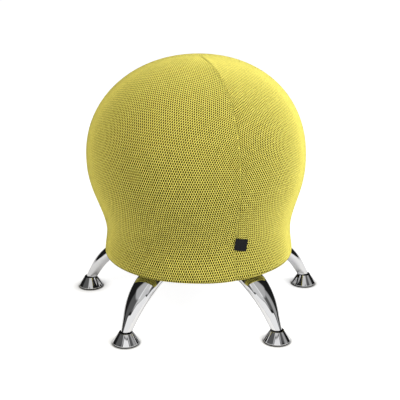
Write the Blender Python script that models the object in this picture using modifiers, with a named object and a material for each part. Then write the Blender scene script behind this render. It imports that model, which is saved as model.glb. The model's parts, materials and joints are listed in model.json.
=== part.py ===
"""Balance stool: an air ball in a sewn mesh cover, on five chromed legs with self-levelling feet.

Metres, +Z up. The front of the stool faces -Y. The origin is on the floor, under the middle of the
footprint, so the stool's own axis stands a little in front of it.
"""

import math

import bmesh
import bpy
from mathutils import Matrix, Vector

# Layout of the legs
LEG_COUNT = 5
FRONT_LEG_AZIMUTH = math.radians(36.0)
FOOT_CIRCLE_R = 0.275

# Cover: outer surface of the mesh sleeve
COVER_TOP_Z = 0.5785
COVER_EQUATOR_R = 0.2461
COVER_EQUATOR_Z = 0.3562
COVER_CROWN_POWER = 2.112
COVER_WAIST_R = 0.2107
COVER_WAIST_Z = 0.1854
COVER_WAIST_SKEW = 1.155
COVER_HEM_R = 0.2159
COVER_HEM_Z = 0.1305
COVER_THICKNESS = 0.003
COVER_HEM_LIP = 0.0165
COVER_TIP_R = 0.003
GORE_COUNT = 3
SEAM_AZIMUTH = math.radians(20.0)
SEAM_HALF_GAP = 0.0002

# Label sewn into the front seam
LABEL_WIDTH = 0.030
LABEL_HEIGHT = 0.026
LABEL_THICKNESS = 0.001
LABEL_Z = 0.210

# Ball, plug and the dish that carries them
BALL_WALL = 0.003
BALL_BOTTOM_Z = 0.159
BALL_UNDER_POWER = 2.1
BALL_COVER_GAP = 0.0006
VALVE_HOLE_R = 0.0053
PLUG_FLANGE_R = 0.010
PLUG_FLANGE_T = 0.002
PLUG_STEM_LENGTH = 0.005
CUP_WALL = 0.005
CUP_RIM_R = 0.150
CUP_BOSS_R = 0.045
CUP_HOLE_R = 0.014
CUP_GAP = 0.0005
CUP_SCREW_COUNT = 3
CUP_SCREW_CIRCLE_R = 0.030
CUP_SCREW_R = 0.003
CUP_SCREW_HEAD_R = 0.0055
CUP_SCREW_HEAD_T = 0.0035
CUP_SCREW_DEPTH = 0.006

# Hoop under the hem, and the elastic in the hem
HOOP_TUBE_R = 0.008
ELASTIC_R = 0.0022

# Legs
ARM_Z = 0.12945
ARM_START_R = 0.046
ARM_HALF_WIDTH = 0.0290
ARM_HALF_HEIGHT = 0.0162
ARM_SECTION_POWER = 3.2
LEG_BEND_R = 0.1670
LEG_AIM_Z = 0.020
LEG_ROUND_BY = math.radians(26.0)
LEG_TAPER_START = math.radians(28.0)
LEG_TAPER_POWER = 1.5
LEG_END_Z = 0.0286
LEG_END_HALF_SIZE = 0.0118
LEG_END_SECTION_POWER = 2.0
LEG_WALL = 0.002
LEG_PLUG_LENGTH = 0.012
LEG_PLUG_LIP = 0.0010

# Hub
PLATE_T = 0.004
HUB_R = 0.092
HUB_HOLE_R = 0.042
SPIDER_HOLE_R = 0.016
SPIDER_FINGER_HALF_WIDTH = 0.012
BOLT_R = 0.004
BOLT_CIRCLES_R = (0.060, 0.080)
BOLT_HEAD_R = 0.0065
BOLT_HEAD_T = 0.006

# Feet
FOOT_BASE_R = 0.0293
FOOT_RIM_R = 0.0150
FOOT_RIM_Z = 0.026
FOOT_EDGE = 0.0012
FOOT_WALL = 0.0016
PAD_T = 0.003
PAD_INSET = 0.0006
PAD_CHAMFER = 0.0006
PIVOT_Z = 0.011
STUD_BALL_R = 0.0055
STUD_NECK_R = 0.0032
STUD_COLLAR_R = 0.006
STUD_COLLAR_T = 0.0018
STUD_SHANK_LENGTH = 0.006
SOCKET_PLAY = 0.0007
SOCKET_LIP = 0.0035

# Clearances
SEAT_GAP = 0.0003
HOLE_GAP = 0.0004

# Fineness of the meshes
SEAT_STEPS = 30
CROWN_ROWS = 10
UNDER_ROWS = 8
WAIST_ROWS = 6
HEM_ROWS = 3
CUP_ROWS = 5
HOOP_SIDES = 8
ELASTIC_SIDES = 5
FOOT_STEPS = 20
STUD_STEPS = 12
STUD_ROWS = 5
SCREW_STEPS = 8
PLATE_STEPS = 40
LEG_SIDES = 14
BEND_ROWS = 8
MERGE_DISTANCE = 0.00005

# Derived sizes
AXIS_Y = -FOOT_CIRCLE_R * (1.0 - math.cos(FRONT_LEG_AZIMUTH)) / 2.0
LEG_BEND_Z = ARM_Z - LEG_BEND_R
ARM_TOP_Z = ARM_Z + ARM_HALF_HEIGHT
ARM_BOTTOM_Z = ARM_Z - ARM_HALF_HEIGHT
SPIDER_Z = ARM_TOP_Z + SEAT_GAP
SPIDER_TOP_Z = SPIDER_Z + PLATE_T
HUB_TOP_Z = ARM_BOTTOM_Z - SEAT_GAP
HUB_Z = HUB_TOP_Z - PLATE_T
LEG_AIM_ANGLE = math.acos((LEG_AIM_Z - LEG_BEND_Z) / LEG_BEND_R)
LEG_END_ANGLE = math.acos((LEG_END_Z - LEG_BEND_Z) / LEG_BEND_R)
LEG_PLUG_ANGLE = LEG_END_ANGLE - LEG_PLUG_LENGTH / LEG_BEND_R
LEG_BEND_START_R = FOOT_CIRCLE_R - LEG_BEND_R * math.sin(LEG_AIM_ANGLE)
BALL_R = COVER_EQUATOR_R - COVER_THICKNESS - BALL_COVER_GAP
BALL_TOP_Z = COVER_TOP_Z - COVER_THICKNESS - BALL_COVER_GAP
BALL_UNDER_H = COVER_EQUATOR_Z - BALL_BOTTOM_Z
FOOT_BOTTOM_Z = PAD_T + SEAT_GAP


def clear_scene():
    """Remove every object that the scene holds."""
    for item in list(bpy.data.objects):
        bpy.data.objects.remove(item, do_unlink=True)


def new_collection(name):
    """Return a collection of this name, linked to the scene and empty."""
    group = bpy.data.collections.get(name) or bpy.data.collections.new(name)
    if group.name not in bpy.context.scene.collection.children:
        bpy.context.scene.collection.children.link(group)
    return group


def make_material(name, colour, roughness, metallic=0.0):
    """Return a Principled material."""
    material = bpy.data.materials.new(name)
    material.use_nodes = True
    shader = material.node_tree.nodes["Principled BSDF"]
    shader.inputs["Base Color"].default_value = (*colour, 1.0)
    shader.inputs["Roughness"].default_value = roughness
    shader.inputs["Metallic"].default_value = metallic
    return material


def smooth(mesh):
    """Shade a round mesh smooth, with its corners kept sharp."""
    mesh.shade_smooth()
    mesh.set_sharp_from_angle(angle=math.radians(35.0))


def add_object(name, data, group, material, parent=None):
    """Put a mesh or curve into the scene as a named piece under its parent."""
    item = bpy.data.objects.new(name, data)
    group.objects.link(item)
    item.data.materials.clear()
    item.data.materials.append(material)
    item.parent = parent
    return item


def add_empty(name, group, location, turn=0.0, parent=None):
    """Add an empty that carries pieces, turned about the vertical."""
    item = bpy.data.objects.new(name, None)
    group.objects.link(item)
    item.empty_display_size = 0.02
    item.location = location
    item.rotation_euler = (0.0, 0.0, turn)
    item.parent = parent
    return item


def mesh_from(name, points, faces):
    """Return a mesh of these points and faces, doubles merged and faces turned outwards."""
    mesh = bpy.data.meshes.new(name)
    mesh.from_pydata(points, [], faces)
    edit = bmesh.new()
    edit.from_mesh(mesh)
    bmesh.ops.remove_doubles(edit, verts=edit.verts, dist=MERGE_DISTANCE)
    bmesh.ops.recalc_face_normals(edit, faces=edit.faces)
    edit.to_mesh(mesh)
    edit.free()
    smooth(mesh)
    return mesh


def profile_mesh(name, profile, closed):
    """Return a mesh of edges along a profile of (radius, height) points in the XZ plane."""
    points = [(radius, 0.0, height) for radius, height in profile]
    edges = [(i, i + 1) for i in range(len(points) - 1)]
    if closed:
        edges.append((len(points) - 1, 0))
    mesh = bpy.data.meshes.new(name)
    mesh.from_pydata(points, edges, [])
    return mesh


def turned(name, profile, steps, group, material, parent, closed=False):
    """Add a turned piece: the profile runs down its outer side and is swept about the Z axis."""
    item = add_object(name, profile_mesh(name, profile, closed), group, material, parent)
    sweep = item.modifiers.new("sweep", "SCREW")
    sweep.axis = "Z"
    sweep.angle = math.tau
    sweep.steps = steps
    sweep.render_steps = steps
    sweep.use_merge_vertices = True
    sweep.merge_threshold = MERGE_DISTANCE
    sweep.use_smooth_shade = True
    return item


def evaluated_mesh(item, name):
    """Return the mesh that an object has after its modifiers, doubles merged."""
    graph = bpy.context.evaluated_depsgraph_get()
    graph.update()
    mesh = bpy.data.meshes.new_from_object(item.evaluated_get(graph))
    mesh.name = name
    edit = bmesh.new()
    edit.from_mesh(mesh)
    bmesh.ops.remove_doubles(edit, verts=edit.verts, dist=MERGE_DISTANCE)
    edit.to_mesh(mesh)
    edit.free()
    return mesh


def cylinder_cutter(name, places, radius, low, high, group, parent=None):
    """Add one cutter object of upright cylinders that stand at the given (x, y) places."""
    edit = bmesh.new()
    for x, y in places:
        middle = Matrix.Translation((x, y, (low + high) / 2.0))
        bmesh.ops.create_cone(edit, cap_ends=True, segments=SCREW_STEPS, radius1=radius, radius2=radius,
                              depth=high - low, matrix=middle)
    mesh = bpy.data.meshes.new(name)
    edit.to_mesh(mesh)
    edit.free()
    item = bpy.data.objects.new(name, mesh)
    group.objects.link(item)
    item.hide_render = True
    item.display_type = "WIRE"
    item.parent = parent
    return item


def cut(item, cutter):
    """Cut a piece with a cutter object."""
    step = item.modifiers.new("holes", "BOOLEAN")
    step.operation = "DIFFERENCE"
    step.solver = "EXACT"
    step.object = cutter
    return item


def circle_points(radius, sides, centre=(0.0, 0.0)):
    """Return points round a circle."""
    angles = [math.tau * i / sides for i in range(sides)]
    return [(centre[0] + radius * math.cos(a), centre[1] + radius * math.sin(a)) for a in angles]


def plate(name, outlines, low, thickness, group, material, parent):
    """Add a flat plate: a filled 2D curve of an outer outline and its holes, extruded both ways."""
    curve = bpy.data.curves.new(name, "CURVE")
    curve.dimensions = "2D"
    curve.fill_mode = "BOTH"
    curve.extrude = thickness / 2.0
    for outline in outlines:
        spline = curve.splines.new("POLY")
        spline.points.add(len(outline) - 1)
        for point, (x, y) in zip(spline.points, outline):
            point.co = (x, y, 0.0, 1.0)
        spline.use_cyclic_u = True
    holder = bpy.data.objects.new(name + "_outline", curve)
    mesh = evaluated_mesh_of_curve(holder, group, name)
    mesh.transform(Matrix.Translation((0.0, 0.0, low + thickness / 2.0)))
    return add_object(name, mesh, group, material, parent)


def evaluated_mesh_of_curve(holder, group, name):
    """Turn a curve object into a mesh and remove the curve."""
    group.objects.link(holder)
    mesh = evaluated_mesh(holder, name)
    bpy.data.objects.remove(holder, do_unlink=True)
    return mesh


def power_of(value, power):
    """Return a signed power, for points round a superellipse."""
    return math.copysign(abs(value) ** power, value)


def superellipse(half_width, half_height, power, angle):
    """Return the (x, y) point of a superellipse at an angle from its side."""
    x = half_width * power_of(math.cos(angle), 2.0 / power)
    y = half_height * power_of(math.sin(angle), 2.0 / power)
    return x, y


def ease(share):
    """Return a smooth step from 0 to 1."""
    return share * share * (3.0 - 2.0 * share)


def crown_angles():
    """Return the angles of the crown's rows, from the pole down to the equator."""
    return [math.pi / 2.0 * (1.0 - i / CROWN_ROWS) for i in range(CROWN_ROWS + 1)]


def crown_row(radius, top, angle):
    """Return the (radius, height) of a crown row of the cover or the ball."""
    across, up = superellipse(radius, top - COVER_EQUATOR_Z, COVER_CROWN_POWER, angle)
    return across, COVER_EQUATOR_Z + up


def cover_side_r(height):
    """Return the cover's outer radius between its equator and its hem."""
    if height >= COVER_WAIST_Z:
        share = (COVER_EQUATOR_Z - height) / (COVER_EQUATOR_Z - COVER_WAIST_Z)
        swell = (1.0 + math.cos(math.pi * share ** COVER_WAIST_SKEW)) / 2.0
        return COVER_WAIST_R + (COVER_EQUATOR_R - COVER_WAIST_R) * swell
    share = (COVER_WAIST_Z - height) / (COVER_WAIST_Z - COVER_HEM_Z)
    return COVER_WAIST_R + (COVER_HEM_R - COVER_WAIST_R) * ease(share)


def cover_side_heights():
    """Return the heights of the cover's rows from below the equator to just above the hem."""
    low = COVER_HEM_Z + COVER_THICKNESS
    upper = [COVER_EQUATOR_Z + (COVER_WAIST_Z - COVER_EQUATOR_Z) * (i + 1) / WAIST_ROWS
             for i in range(WAIST_ROWS)]
    lower = [COVER_WAIST_Z + (low - COVER_WAIST_Z) * (i + 1) / HEM_ROWS for i in range(HEM_ROWS)]
    return upper + lower


def side_normal(height):
    """Return the outward (radius, height) normal of the cover's side."""
    step = 0.0005
    slope = (cover_side_r(height + step) - cover_side_r(height - step)) / (2.0 * step)
    length = math.hypot(1.0, slope)
    return 1.0 / length, -slope / length


def cover_profiles():
    """Return the outer and inner (radius, height) rows of a gore, from its tip to the hem's lip."""
    outer = []
    inner = []
    for angle in crown_angles():
        outer.append(crown_row(COVER_EQUATOR_R, COVER_TOP_Z, angle))
        inner.append(crown_row(COVER_EQUATOR_R - COVER_THICKNESS, COVER_TOP_Z - COVER_THICKNESS, angle))
    outer[0] = (COVER_TIP_R, COVER_TOP_Z)
    inner[0] = (COVER_TIP_R, COVER_TOP_Z - COVER_THICKNESS)
    for height in cover_side_heights():
        radius = cover_side_r(height)
        across, up = side_normal(height)
        outer.append((radius, height))
        inner.append((radius - COVER_THICKNESS * across, height - COVER_THICKNESS * up))
    corner = (COVER_HEM_R - COVER_THICKNESS, COVER_HEM_Z + COVER_THICKNESS)
    inner[-1] = corner
    lip_r = COVER_HEM_R - COVER_HEM_LIP
    outer += [(COVER_HEM_R - COVER_THICKNESS * 0.4, COVER_HEM_Z), (lip_r, COVER_HEM_Z)]
    inner += [corner, (lip_r, COVER_HEM_Z + COVER_THICKNESS)]
    return outer, inner


def gore_mesh(name, start):
    """Return the mesh of one sewn gore of the cover, between two seams."""
    outer, inner = cover_profiles()
    columns = SEAT_STEPS // GORE_COUNT
    width = columns + 1
    points = []
    for rows in (outer, inner):
        for radius, height in rows:
            trim = SEAM_HALF_GAP / radius
            for i in range(width):
                angle = start + math.tau * i / SEAT_STEPS
                if i == 0:
                    angle += trim
                if i == columns:
                    angle -= trim
                points.append((radius * math.cos(angle), radius * math.sin(angle), height))
    rows = len(outer)
    shift = rows * width
    faces = []
    for j in range(rows - 1):
        for i in range(columns):
            a = j * width + i
            b = a + 1
            c = a + width
            d = c + 1
            faces.append((a, c, d, b))
            faces.append((a + shift, b + shift, d + shift, c + shift))
        left = j * width
        right = left + columns
        faces.append((left, left + shift, left + width + shift, left + width))
        faces.append((right, right + width, right + width + shift, right + shift))
    for i in range(columns):
        last = (rows - 1) * width + i
        faces.append((i, i + 1, i + 1 + shift, i + shift))
        faces.append((last, last + shift, last + 1 + shift, last + 1))
    return mesh_from(name, points, faces)


def turn_of(azimuth):
    """Return the turn about Z that points +X to an azimuth, measured from the front towards +X."""
    return azimuth - math.pi / 2.0


def leg_azimuths():
    """Return the azimuths of the legs, from the right front leg round."""
    return [FRONT_LEG_AZIMUTH + math.tau * i / LEG_COUNT for i in range(LEG_COUNT)]


def leg_half_sizes(angle):
    """Return a leg's half width, half height and section power at an angle of its bend.

    The flat oval turns into an ellipse early in the bend, and the tube tapers on to the end.
    """
    share = (angle - LEG_TAPER_START) / (LEG_END_ANGLE - LEG_TAPER_START)
    share = min(max(share, 0.0), 1.0)
    fade = share ** LEG_TAPER_POWER
    width = ARM_HALF_WIDTH + (LEG_END_HALF_SIZE - ARM_HALF_WIDTH) * fade
    height = ARM_HALF_HEIGHT + (LEG_END_HALF_SIZE - ARM_HALF_HEIGHT) * fade
    roundness = min(max(angle / LEG_ROUND_BY, 0.0), 1.0)
    power = ARM_SECTION_POWER + (LEG_END_SECTION_POWER - ARM_SECTION_POWER) * roundness
    return width, height, power


def leg_ring(angle, inset, level=False):
    """Return a ring of points round a leg where its bend has turned by this angle.

    The leg runs out along +X. A level ring is the section sheared along the leg into a horizontal
    plane, which is how the lower end is cut.
    """
    width, height, power = leg_half_sizes(angle)
    middle_r = LEG_BEND_START_R + LEG_BEND_R * math.sin(angle)
    middle_z = LEG_BEND_Z + LEG_BEND_R * math.cos(angle)
    ring = []
    for i in range(LEG_SIDES):
        across, up = superellipse(width - inset, height - inset, power, math.tau * i / LEG_SIDES)
        if level:
            ring.append((middle_r + up / math.sin(angle), across, middle_z))
        else:
            ring.append((middle_r + up * math.sin(angle), across, middle_z + up * math.cos(angle)))
    return ring


def arm_ring(radius, inset):
    """Return a ring of points round the straight arm at a distance from the axis."""
    return [(radius, y, z) for _, y, z in leg_ring(0.0, inset)]


def bend_angles():
    """Return the angles of the bend's rows, down to the one where the end plug starts."""
    return [LEG_PLUG_ANGLE * i / BEND_ROWS for i in range(BEND_ROWS + 1)]


def leg_rings(inset):
    """Return the rings of a leg from the hub to the foot."""
    rings = [arm_ring(ARM_START_R, inset)]
    rings += [leg_ring(angle, inset) for angle in bend_angles()]
    rings.append(leg_ring(LEG_END_ANGLE, inset, level=True))
    return rings


def loft_faces(ring_count, sides, first=0):
    """Return the side faces of a loft of rings that have the same number of points."""
    faces = []
    for j in range(ring_count - 1):
        for i in range(sides):
            a = first + j * sides + i
            b = first + j * sides + (i + 1) % sides
            faces.append((a, b, b + sides, a + sides))
    return faces


def leg_mesh(name):
    """Return the mesh of a leg tube: a loft from a flat oval to a round end, with its bore."""
    outer = leg_rings(0.0)
    inner = leg_rings(LEG_WALL)
    count = len(outer)
    shift = count * LEG_SIDES
    points = [point for ring in outer + inner for point in ring]
    faces = loft_faces(count, LEG_SIDES)
    faces += [tuple(reversed(face)) for face in loft_faces(count, LEG_SIDES, shift)]
    last = (count - 1) * LEG_SIDES
    for i in range(LEG_SIDES):
        k = (i + 1) % LEG_SIDES
        faces.append((i, i + shift, k + shift, k))
        faces.append((last + i, last + k, last + k + shift, last + i + shift))
    return mesh_from(name, points, faces)


def lowered(ring, drop, scale=1.0):
    """Return a level ring moved down, and scaled about its own middle."""
    middle = sum((Vector(point) for point in ring), Vector()) / len(ring)
    moved = [middle + (Vector(point) - middle) * scale for point in ring]
    return [(point.x, point.y, point.z - drop) for point in moved]


def plug_mesh(name):
    """Return the mesh of a leg's end plug: a body that follows the bore, and a lip below the tube."""
    inset = LEG_WALL + SEAT_GAP
    bore_end = leg_ring(LEG_END_ANGLE, inset, level=True)
    tube_end = leg_ring(LEG_END_ANGLE, SEAT_GAP, level=True)
    rings = [leg_ring(LEG_PLUG_ANGLE, inset),
             lowered(bore_end, SEAT_GAP),
             lowered(tube_end, SEAT_GAP),
             lowered(tube_end, LEG_PLUG_LIP * 0.6),
             lowered(tube_end, LEG_PLUG_LIP, 0.82)]
    points = [point for ring in rings for point in ring]
    faces = loft_faces(len(rings), LEG_SIDES)
    last = (len(rings) - 1) * LEG_SIDES
    faces.append(tuple(range(LEG_SIDES)))
    faces.append(tuple(last + i for i in reversed(range(LEG_SIDES))))
    return mesh_from(name, points, faces)


def polar(radius, azimuth):
    """Return the (x, y) place at a radius and azimuth."""
    turn = turn_of(azimuth)
    return radius * math.cos(turn), radius * math.sin(turn)


def bolt_places():
    """Return the (x, y) places of the leg bolts."""
    return [polar(radius, azimuth) for azimuth in leg_azimuths() for radius in BOLT_CIRCLES_R]


def cup_screw_places():
    """Return the (x, y) places of the dish's screws, inside the ring of leg ends."""
    azimuths = [math.tau * i / CUP_SCREW_COUNT for i in range(CUP_SCREW_COUNT)]
    return [polar(CUP_SCREW_CIRCLE_R, azimuth) for azimuth in azimuths]


def screw_profile(radius, head_r, head_low, head_top, tip):
    """Return the profile of a bolt or screw that is driven upwards: shank above its head."""
    return [(0.0, tip), (radius, tip), (radius, head_top), (head_r, head_top), (head_r, head_low),
            (0.0, head_low)]


def add_screw(name, place, profile, group, material, parent):
    """Add a bolt or screw at an (x, y) place."""
    item = turned(name, profile, SCREW_STEPS, group, material, parent)
    item.location = (*place, 0.0)
    return item


def hoop_place():
    """Return the (radius, height) of the hoop's tube centre, held inside the hem."""
    height = COVER_HEM_Z + COVER_THICKNESS + HOLE_GAP + HOOP_TUBE_R
    radius = cover_side_r(height) - COVER_THICKNESS - HOLE_GAP - HOOP_TUBE_R
    return radius, height


def ring_profile(radius, height, tube_r, sides):
    """Return a circle of profile points that runs down its outer side."""
    angles = [-math.tau * i / sides for i in range(sides)]
    return [(radius + tube_r * math.cos(a), height + tube_r * math.sin(a)) for a in angles]


def spider_outline():
    """Return the outline of the spider plate: a disc with a finger along each leg, up to the hoop."""
    hoop_r, hoop_z = hoop_place()
    rise = min(max(SPIDER_Z - hoop_z, 0.0), HOOP_TUBE_R)
    tube_half = math.sqrt(HOOP_TUBE_R ** 2 - rise ** 2)
    tip_r = (hoop_r - tube_half) * math.cos(math.pi / SEAT_STEPS) - SEAT_GAP
    root_angle = math.asin(SPIDER_FINGER_HALF_WIDTH / HUB_R)
    gap = math.tau / LEG_COUNT - 2.0 * root_angle
    outline = []
    for azimuth in leg_azimuths():
        turn = turn_of(azimuth)
        along = Vector((math.cos(turn), math.sin(turn)))
        side = Vector((-along.y, along.x))
        for half in (-SPIDER_FINGER_HALF_WIDTH, SPIDER_FINGER_HALF_WIDTH):
            outline.append(tuple(along * tip_r + side * half))
        for i in range(6):
            angle = turn + root_angle + gap * i / 5
            outline.append((HUB_R * math.cos(angle), HUB_R * math.sin(angle)))
    return outline


def ball_profile():
    """Return the ball's profile: down the outside to the valve hole, then up the inside."""
    outer = [crown_row(BALL_R, BALL_TOP_Z, angle) for angle in crown_angles()]
    inner = [crown_row(BALL_R - BALL_WALL, BALL_TOP_Z - BALL_WALL, angle)
             for angle in crown_angles()[::2]]
    outer[0] = (0.0, BALL_TOP_Z)
    inner[0] = (0.0, BALL_TOP_Z - BALL_WALL)
    under_angles = [math.pi / 2.0 * i / UNDER_ROWS for i in range(1, UNDER_ROWS)]
    outer += [held_in(under_row(0.0, angle), 0.0) for angle in under_angles]
    inner += [held_in(under_row(-BALL_WALL, angle), BALL_WALL) for angle in under_angles[1::2]]
    outer.append((VALVE_HOLE_R, BALL_BOTTOM_Z))
    inner.append((VALVE_HOLE_R, BALL_BOTTOM_Z + BALL_WALL))
    return outer + list(reversed(inner))


def held_in(row, inset):
    """Return a row of the ball's underside, drawn in where the cover's side leaves it less room."""
    radius, height = row
    across, _ = side_normal(height)
    room = cover_row_r(height) - (COVER_THICKNESS + BALL_COVER_GAP) / across - inset
    return min(radius, room), height


def under_row(offset, angle):
    """Return the (radius, height) of a row of the ball's underside, or of a surface offset from it."""
    across, down = superellipse(BALL_R + offset, BALL_UNDER_H + offset, BALL_UNDER_POWER, angle)
    return across, COVER_EQUATOR_Z - down


def under_angle(offset, radius):
    """Return the angle at which the ball's underside, or its offset, has this radius."""
    share = (radius / (BALL_R + offset)) ** (BALL_UNDER_POWER / 2.0)
    return math.acos(share)


def cup_profile():
    """Return the dish's closed profile: rim, underside, boss, centre hole and the ball's seat."""
    inside = CUP_GAP
    outside = CUP_GAP + CUP_WALL
    boss_z = SPIDER_TOP_Z + SEAT_GAP
    profile = []
    start = under_angle(outside, CUP_RIM_R)
    end = under_angle(outside, CUP_BOSS_R)
    for i in range(CUP_ROWS + 1):
        profile.append(under_row(outside, start + (end - start) * i / CUP_ROWS))
    profile += [(CUP_BOSS_R, boss_z), (CUP_HOLE_R, boss_z)]
    start = under_angle(inside, CUP_HOLE_R)
    end = under_angle(inside, CUP_RIM_R)
    for i in range(CUP_ROWS + 1):
        profile.append(under_row(inside, start + (end - start) * i / CUP_ROWS))
    return profile


def air_plug_profile():
    """Return the air plug's profile: a stem in the ball's valve hole and a flange under the ball."""
    flange_top = BALL_BOTTOM_Z - SEAT_GAP
    stem_r = VALVE_HOLE_R - HOLE_GAP
    stem_top = flange_top + PLUG_STEM_LENGTH
    low = flange_top - PLUG_FLANGE_T
    return [(0.0, stem_top), (stem_r, stem_top), (stem_r, flange_top),
            (PLUG_FLANGE_R, flange_top), (PLUG_FLANGE_R, low), (0.0, low)]


def foot_wall_r(height, inset):
    """Return the radius of the foot's cone at a height, less an inset."""
    low = FOOT_BOTTOM_Z + FOOT_EDGE
    share = (height - low) / (FOOT_RIM_Z - low)
    return FOOT_BASE_R + (FOOT_RIM_R - FOOT_BASE_R) * max(share, 0.0) - inset


def local(profile):
    """Return a foot's profile in heights from its pivot."""
    return [(radius, height - PIVOT_Z) for radius, height in profile]


def foot_cap_profile():
    """Return the closed profile of a foot's cone shell."""
    low = FOOT_BOTTOM_Z
    edge = low + FOOT_EDGE
    lip = FOOT_WALL / 4.0
    return [(FOOT_RIM_R - lip, FOOT_RIM_Z), (foot_wall_r(FOOT_RIM_Z - lip, 0.0), FOOT_RIM_Z - lip),
            (FOOT_BASE_R, edge), (FOOT_BASE_R, low),
            (FOOT_BASE_R - FOOT_WALL, low), (FOOT_BASE_R - FOOT_WALL, edge),
            (FOOT_RIM_R - FOOT_WALL, FOOT_RIM_Z)]


def foot_socket_profile():
    """Return the profile of a foot's nylon socket: a cup for the stud's ball, filling the cone."""
    low = FOOT_BOTTOM_Z
    top = PIVOT_Z + SOCKET_LIP
    radius = STUD_BALL_R + SOCKET_PLAY
    inset = FOOT_WALL + 2.0 * SEAT_GAP
    edge = low + FOOT_EDGE
    lip_angle = math.asin(SOCKET_LIP / radius)
    cavity = []
    for i in range(STUD_ROWS + 1):
        angle = -math.pi / 2.0 + (lip_angle + math.pi / 2.0) * i / STUD_ROWS
        cavity.append((radius * math.cos(angle), PIVOT_Z + radius * math.sin(angle)))
    cavity[0] = (0.0, PIVOT_Z - radius)
    return cavity + [(foot_wall_r(top, inset), top), (FOOT_BASE_R - inset, edge),
                     (FOOT_BASE_R - inset, low), (0.0, low)]


def foot_pad_profile():
    """Return the profile of a foot's pad."""
    radius = FOOT_BASE_R - PAD_INSET
    inner = radius - PAD_CHAMFER
    return [(0.0, PAD_T), (inner, PAD_T), (radius, PAD_T - PAD_CHAMFER), (radius, PAD_CHAMFER),
            (inner, 0.0), (0.0, 0.0)]


def stud_profile():
    """Return the profile of a foot's stud: shank, collar, neck and ball, in heights from the pivot."""
    collar_top = LEG_END_Z - LEG_PLUG_LIP - SEAT_GAP - PIVOT_Z
    collar_low = collar_top - STUD_COLLAR_T
    shank_top = collar_top + STUD_SHANK_LENGTH
    neck_angle = math.acos(STUD_NECK_R / STUD_BALL_R)
    profile = [(0.0, shank_top), (STUD_NECK_R, shank_top), (STUD_NECK_R, collar_top),
               (STUD_COLLAR_R, collar_top), (STUD_COLLAR_R, collar_low), (STUD_NECK_R, collar_low)]
    for i in range(STUD_ROWS + 1):
        angle = neck_angle - (neck_angle + math.pi / 2.0) * i / STUD_ROWS
        profile.append((STUD_BALL_R * math.cos(angle), STUD_BALL_R * math.sin(angle)))
    profile[-1] = (0.0, -STUD_BALL_R)
    return profile


def cover_row_r(height):
    """Return the radius of the cover's side at a height, on the straight run between two of its rows."""
    rows, _ = cover_profiles()
    for (upper_r, upper_z), (lower_r, lower_z) in zip(rows, rows[1:]):
        if lower_z <= height <= upper_z:
            return lower_r + (upper_r - lower_r) * (height - lower_z) / (upper_z - lower_z)
    raise ValueError("The height is off the cover's side")


def label_mesh(name):
    """Return the mesh of the label: a small cloth patch that lies on the cover beside the seam."""
    columns = 4
    rows = 3
    points = []
    for offset in (SEAT_GAP + LABEL_THICKNESS, SEAT_GAP):
        for j in range(rows + 1):
            height = LABEL_Z + LABEL_HEIGHT * (0.5 - j / rows)
            across, up = side_normal(height)
            radius = cover_row_r(height) + offset * across
            for i in range(columns + 1):
                angle = turn_of(SEAM_AZIMUTH) + LABEL_WIDTH / COVER_WAIST_R * i / columns
                points.append((radius * math.cos(angle), radius * math.sin(angle), height + offset * up))
    width = columns + 1
    shift = width * (rows + 1)
    faces = []
    for j in range(rows):
        for i in range(columns):
            a = j * width + i
            quad = (a, a + width, a + width + 1, a + 1)
            faces.append(quad)
            faces.append(tuple(k + shift for k in reversed(quad)))
        left = j * width
        right = left + columns
        faces.append((left, left + shift, left + width + shift, left + width))
        faces.append((right, right + width, right + width + shift, right + shift))
    for i in range(columns):
        last = rows * width + i
        faces.append((i, i + 1, i + 1 + shift, i + shift))
        faces.append((last, last + shift, last + 1 + shift, last + 1))
    return mesh_from(name, points, faces)


def build_seat(parts, cutters, paint, axis):
    """Build the ball, its dish, the hoop and the sewn cover."""
    seam = add_empty("seat_turn", parts, (0.0, 0.0, 0.0), turn_of(SEAM_AZIMUTH), axis)
    turned("ball", ball_profile(), SEAT_STEPS, parts, paint["ball"], seam)
    turned("air_plug", air_plug_profile(), STUD_STEPS, parts, paint["nylon"], axis)
    cup = turned("ball_cup", cup_profile(), SEAT_STEPS, parts, paint["cup"], seam, closed=True)
    head_top = SPIDER_Z - SEAT_GAP
    screw_top = SPIDER_TOP_Z + SEAT_GAP + CUP_SCREW_DEPTH
    holes = cylinder_cutter("cup_screw_holes", cup_screw_places(), CUP_SCREW_R + HOLE_GAP,
                            SPIDER_Z, screw_top + SEAT_GAP, cutters, axis)
    cut(cup, holes)
    screw = screw_profile(CUP_SCREW_R, CUP_SCREW_HEAD_R, head_top - CUP_SCREW_HEAD_T, head_top, screw_top)
    for i, place in enumerate(cup_screw_places(), start=1):
        add_screw(f"cup_screw_{i}", place, screw, parts, paint["steel"], axis)
    hoop = ring_profile(*hoop_place(), HOOP_TUBE_R, HOOP_SIDES)
    turned("hem_hoop", hoop, SEAT_STEPS, parts, paint["black_steel"], seam, closed=True)
    elastic_r = COVER_HEM_R - COVER_HEM_LIP - SEAT_GAP - ELASTIC_R
    elastic_z = COVER_HEM_Z + COVER_THICKNESS
    elastic = ring_profile(elastic_r, elastic_z, ELASTIC_R, ELASTIC_SIDES)
    turned("hem_elastic", elastic, SEAT_STEPS, parts, paint["elastic"], seam, closed=True)
    for i in range(GORE_COUNT):
        name = f"cover_gore_{i + 1}"
        start = turn_of(SEAM_AZIMUTH) + math.tau * i / GORE_COUNT
        add_object(name, gore_mesh(name, start), parts, paint["cover"], axis)
    add_object("side_label", label_mesh("side_label"), parts, paint["label"], axis)


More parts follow.
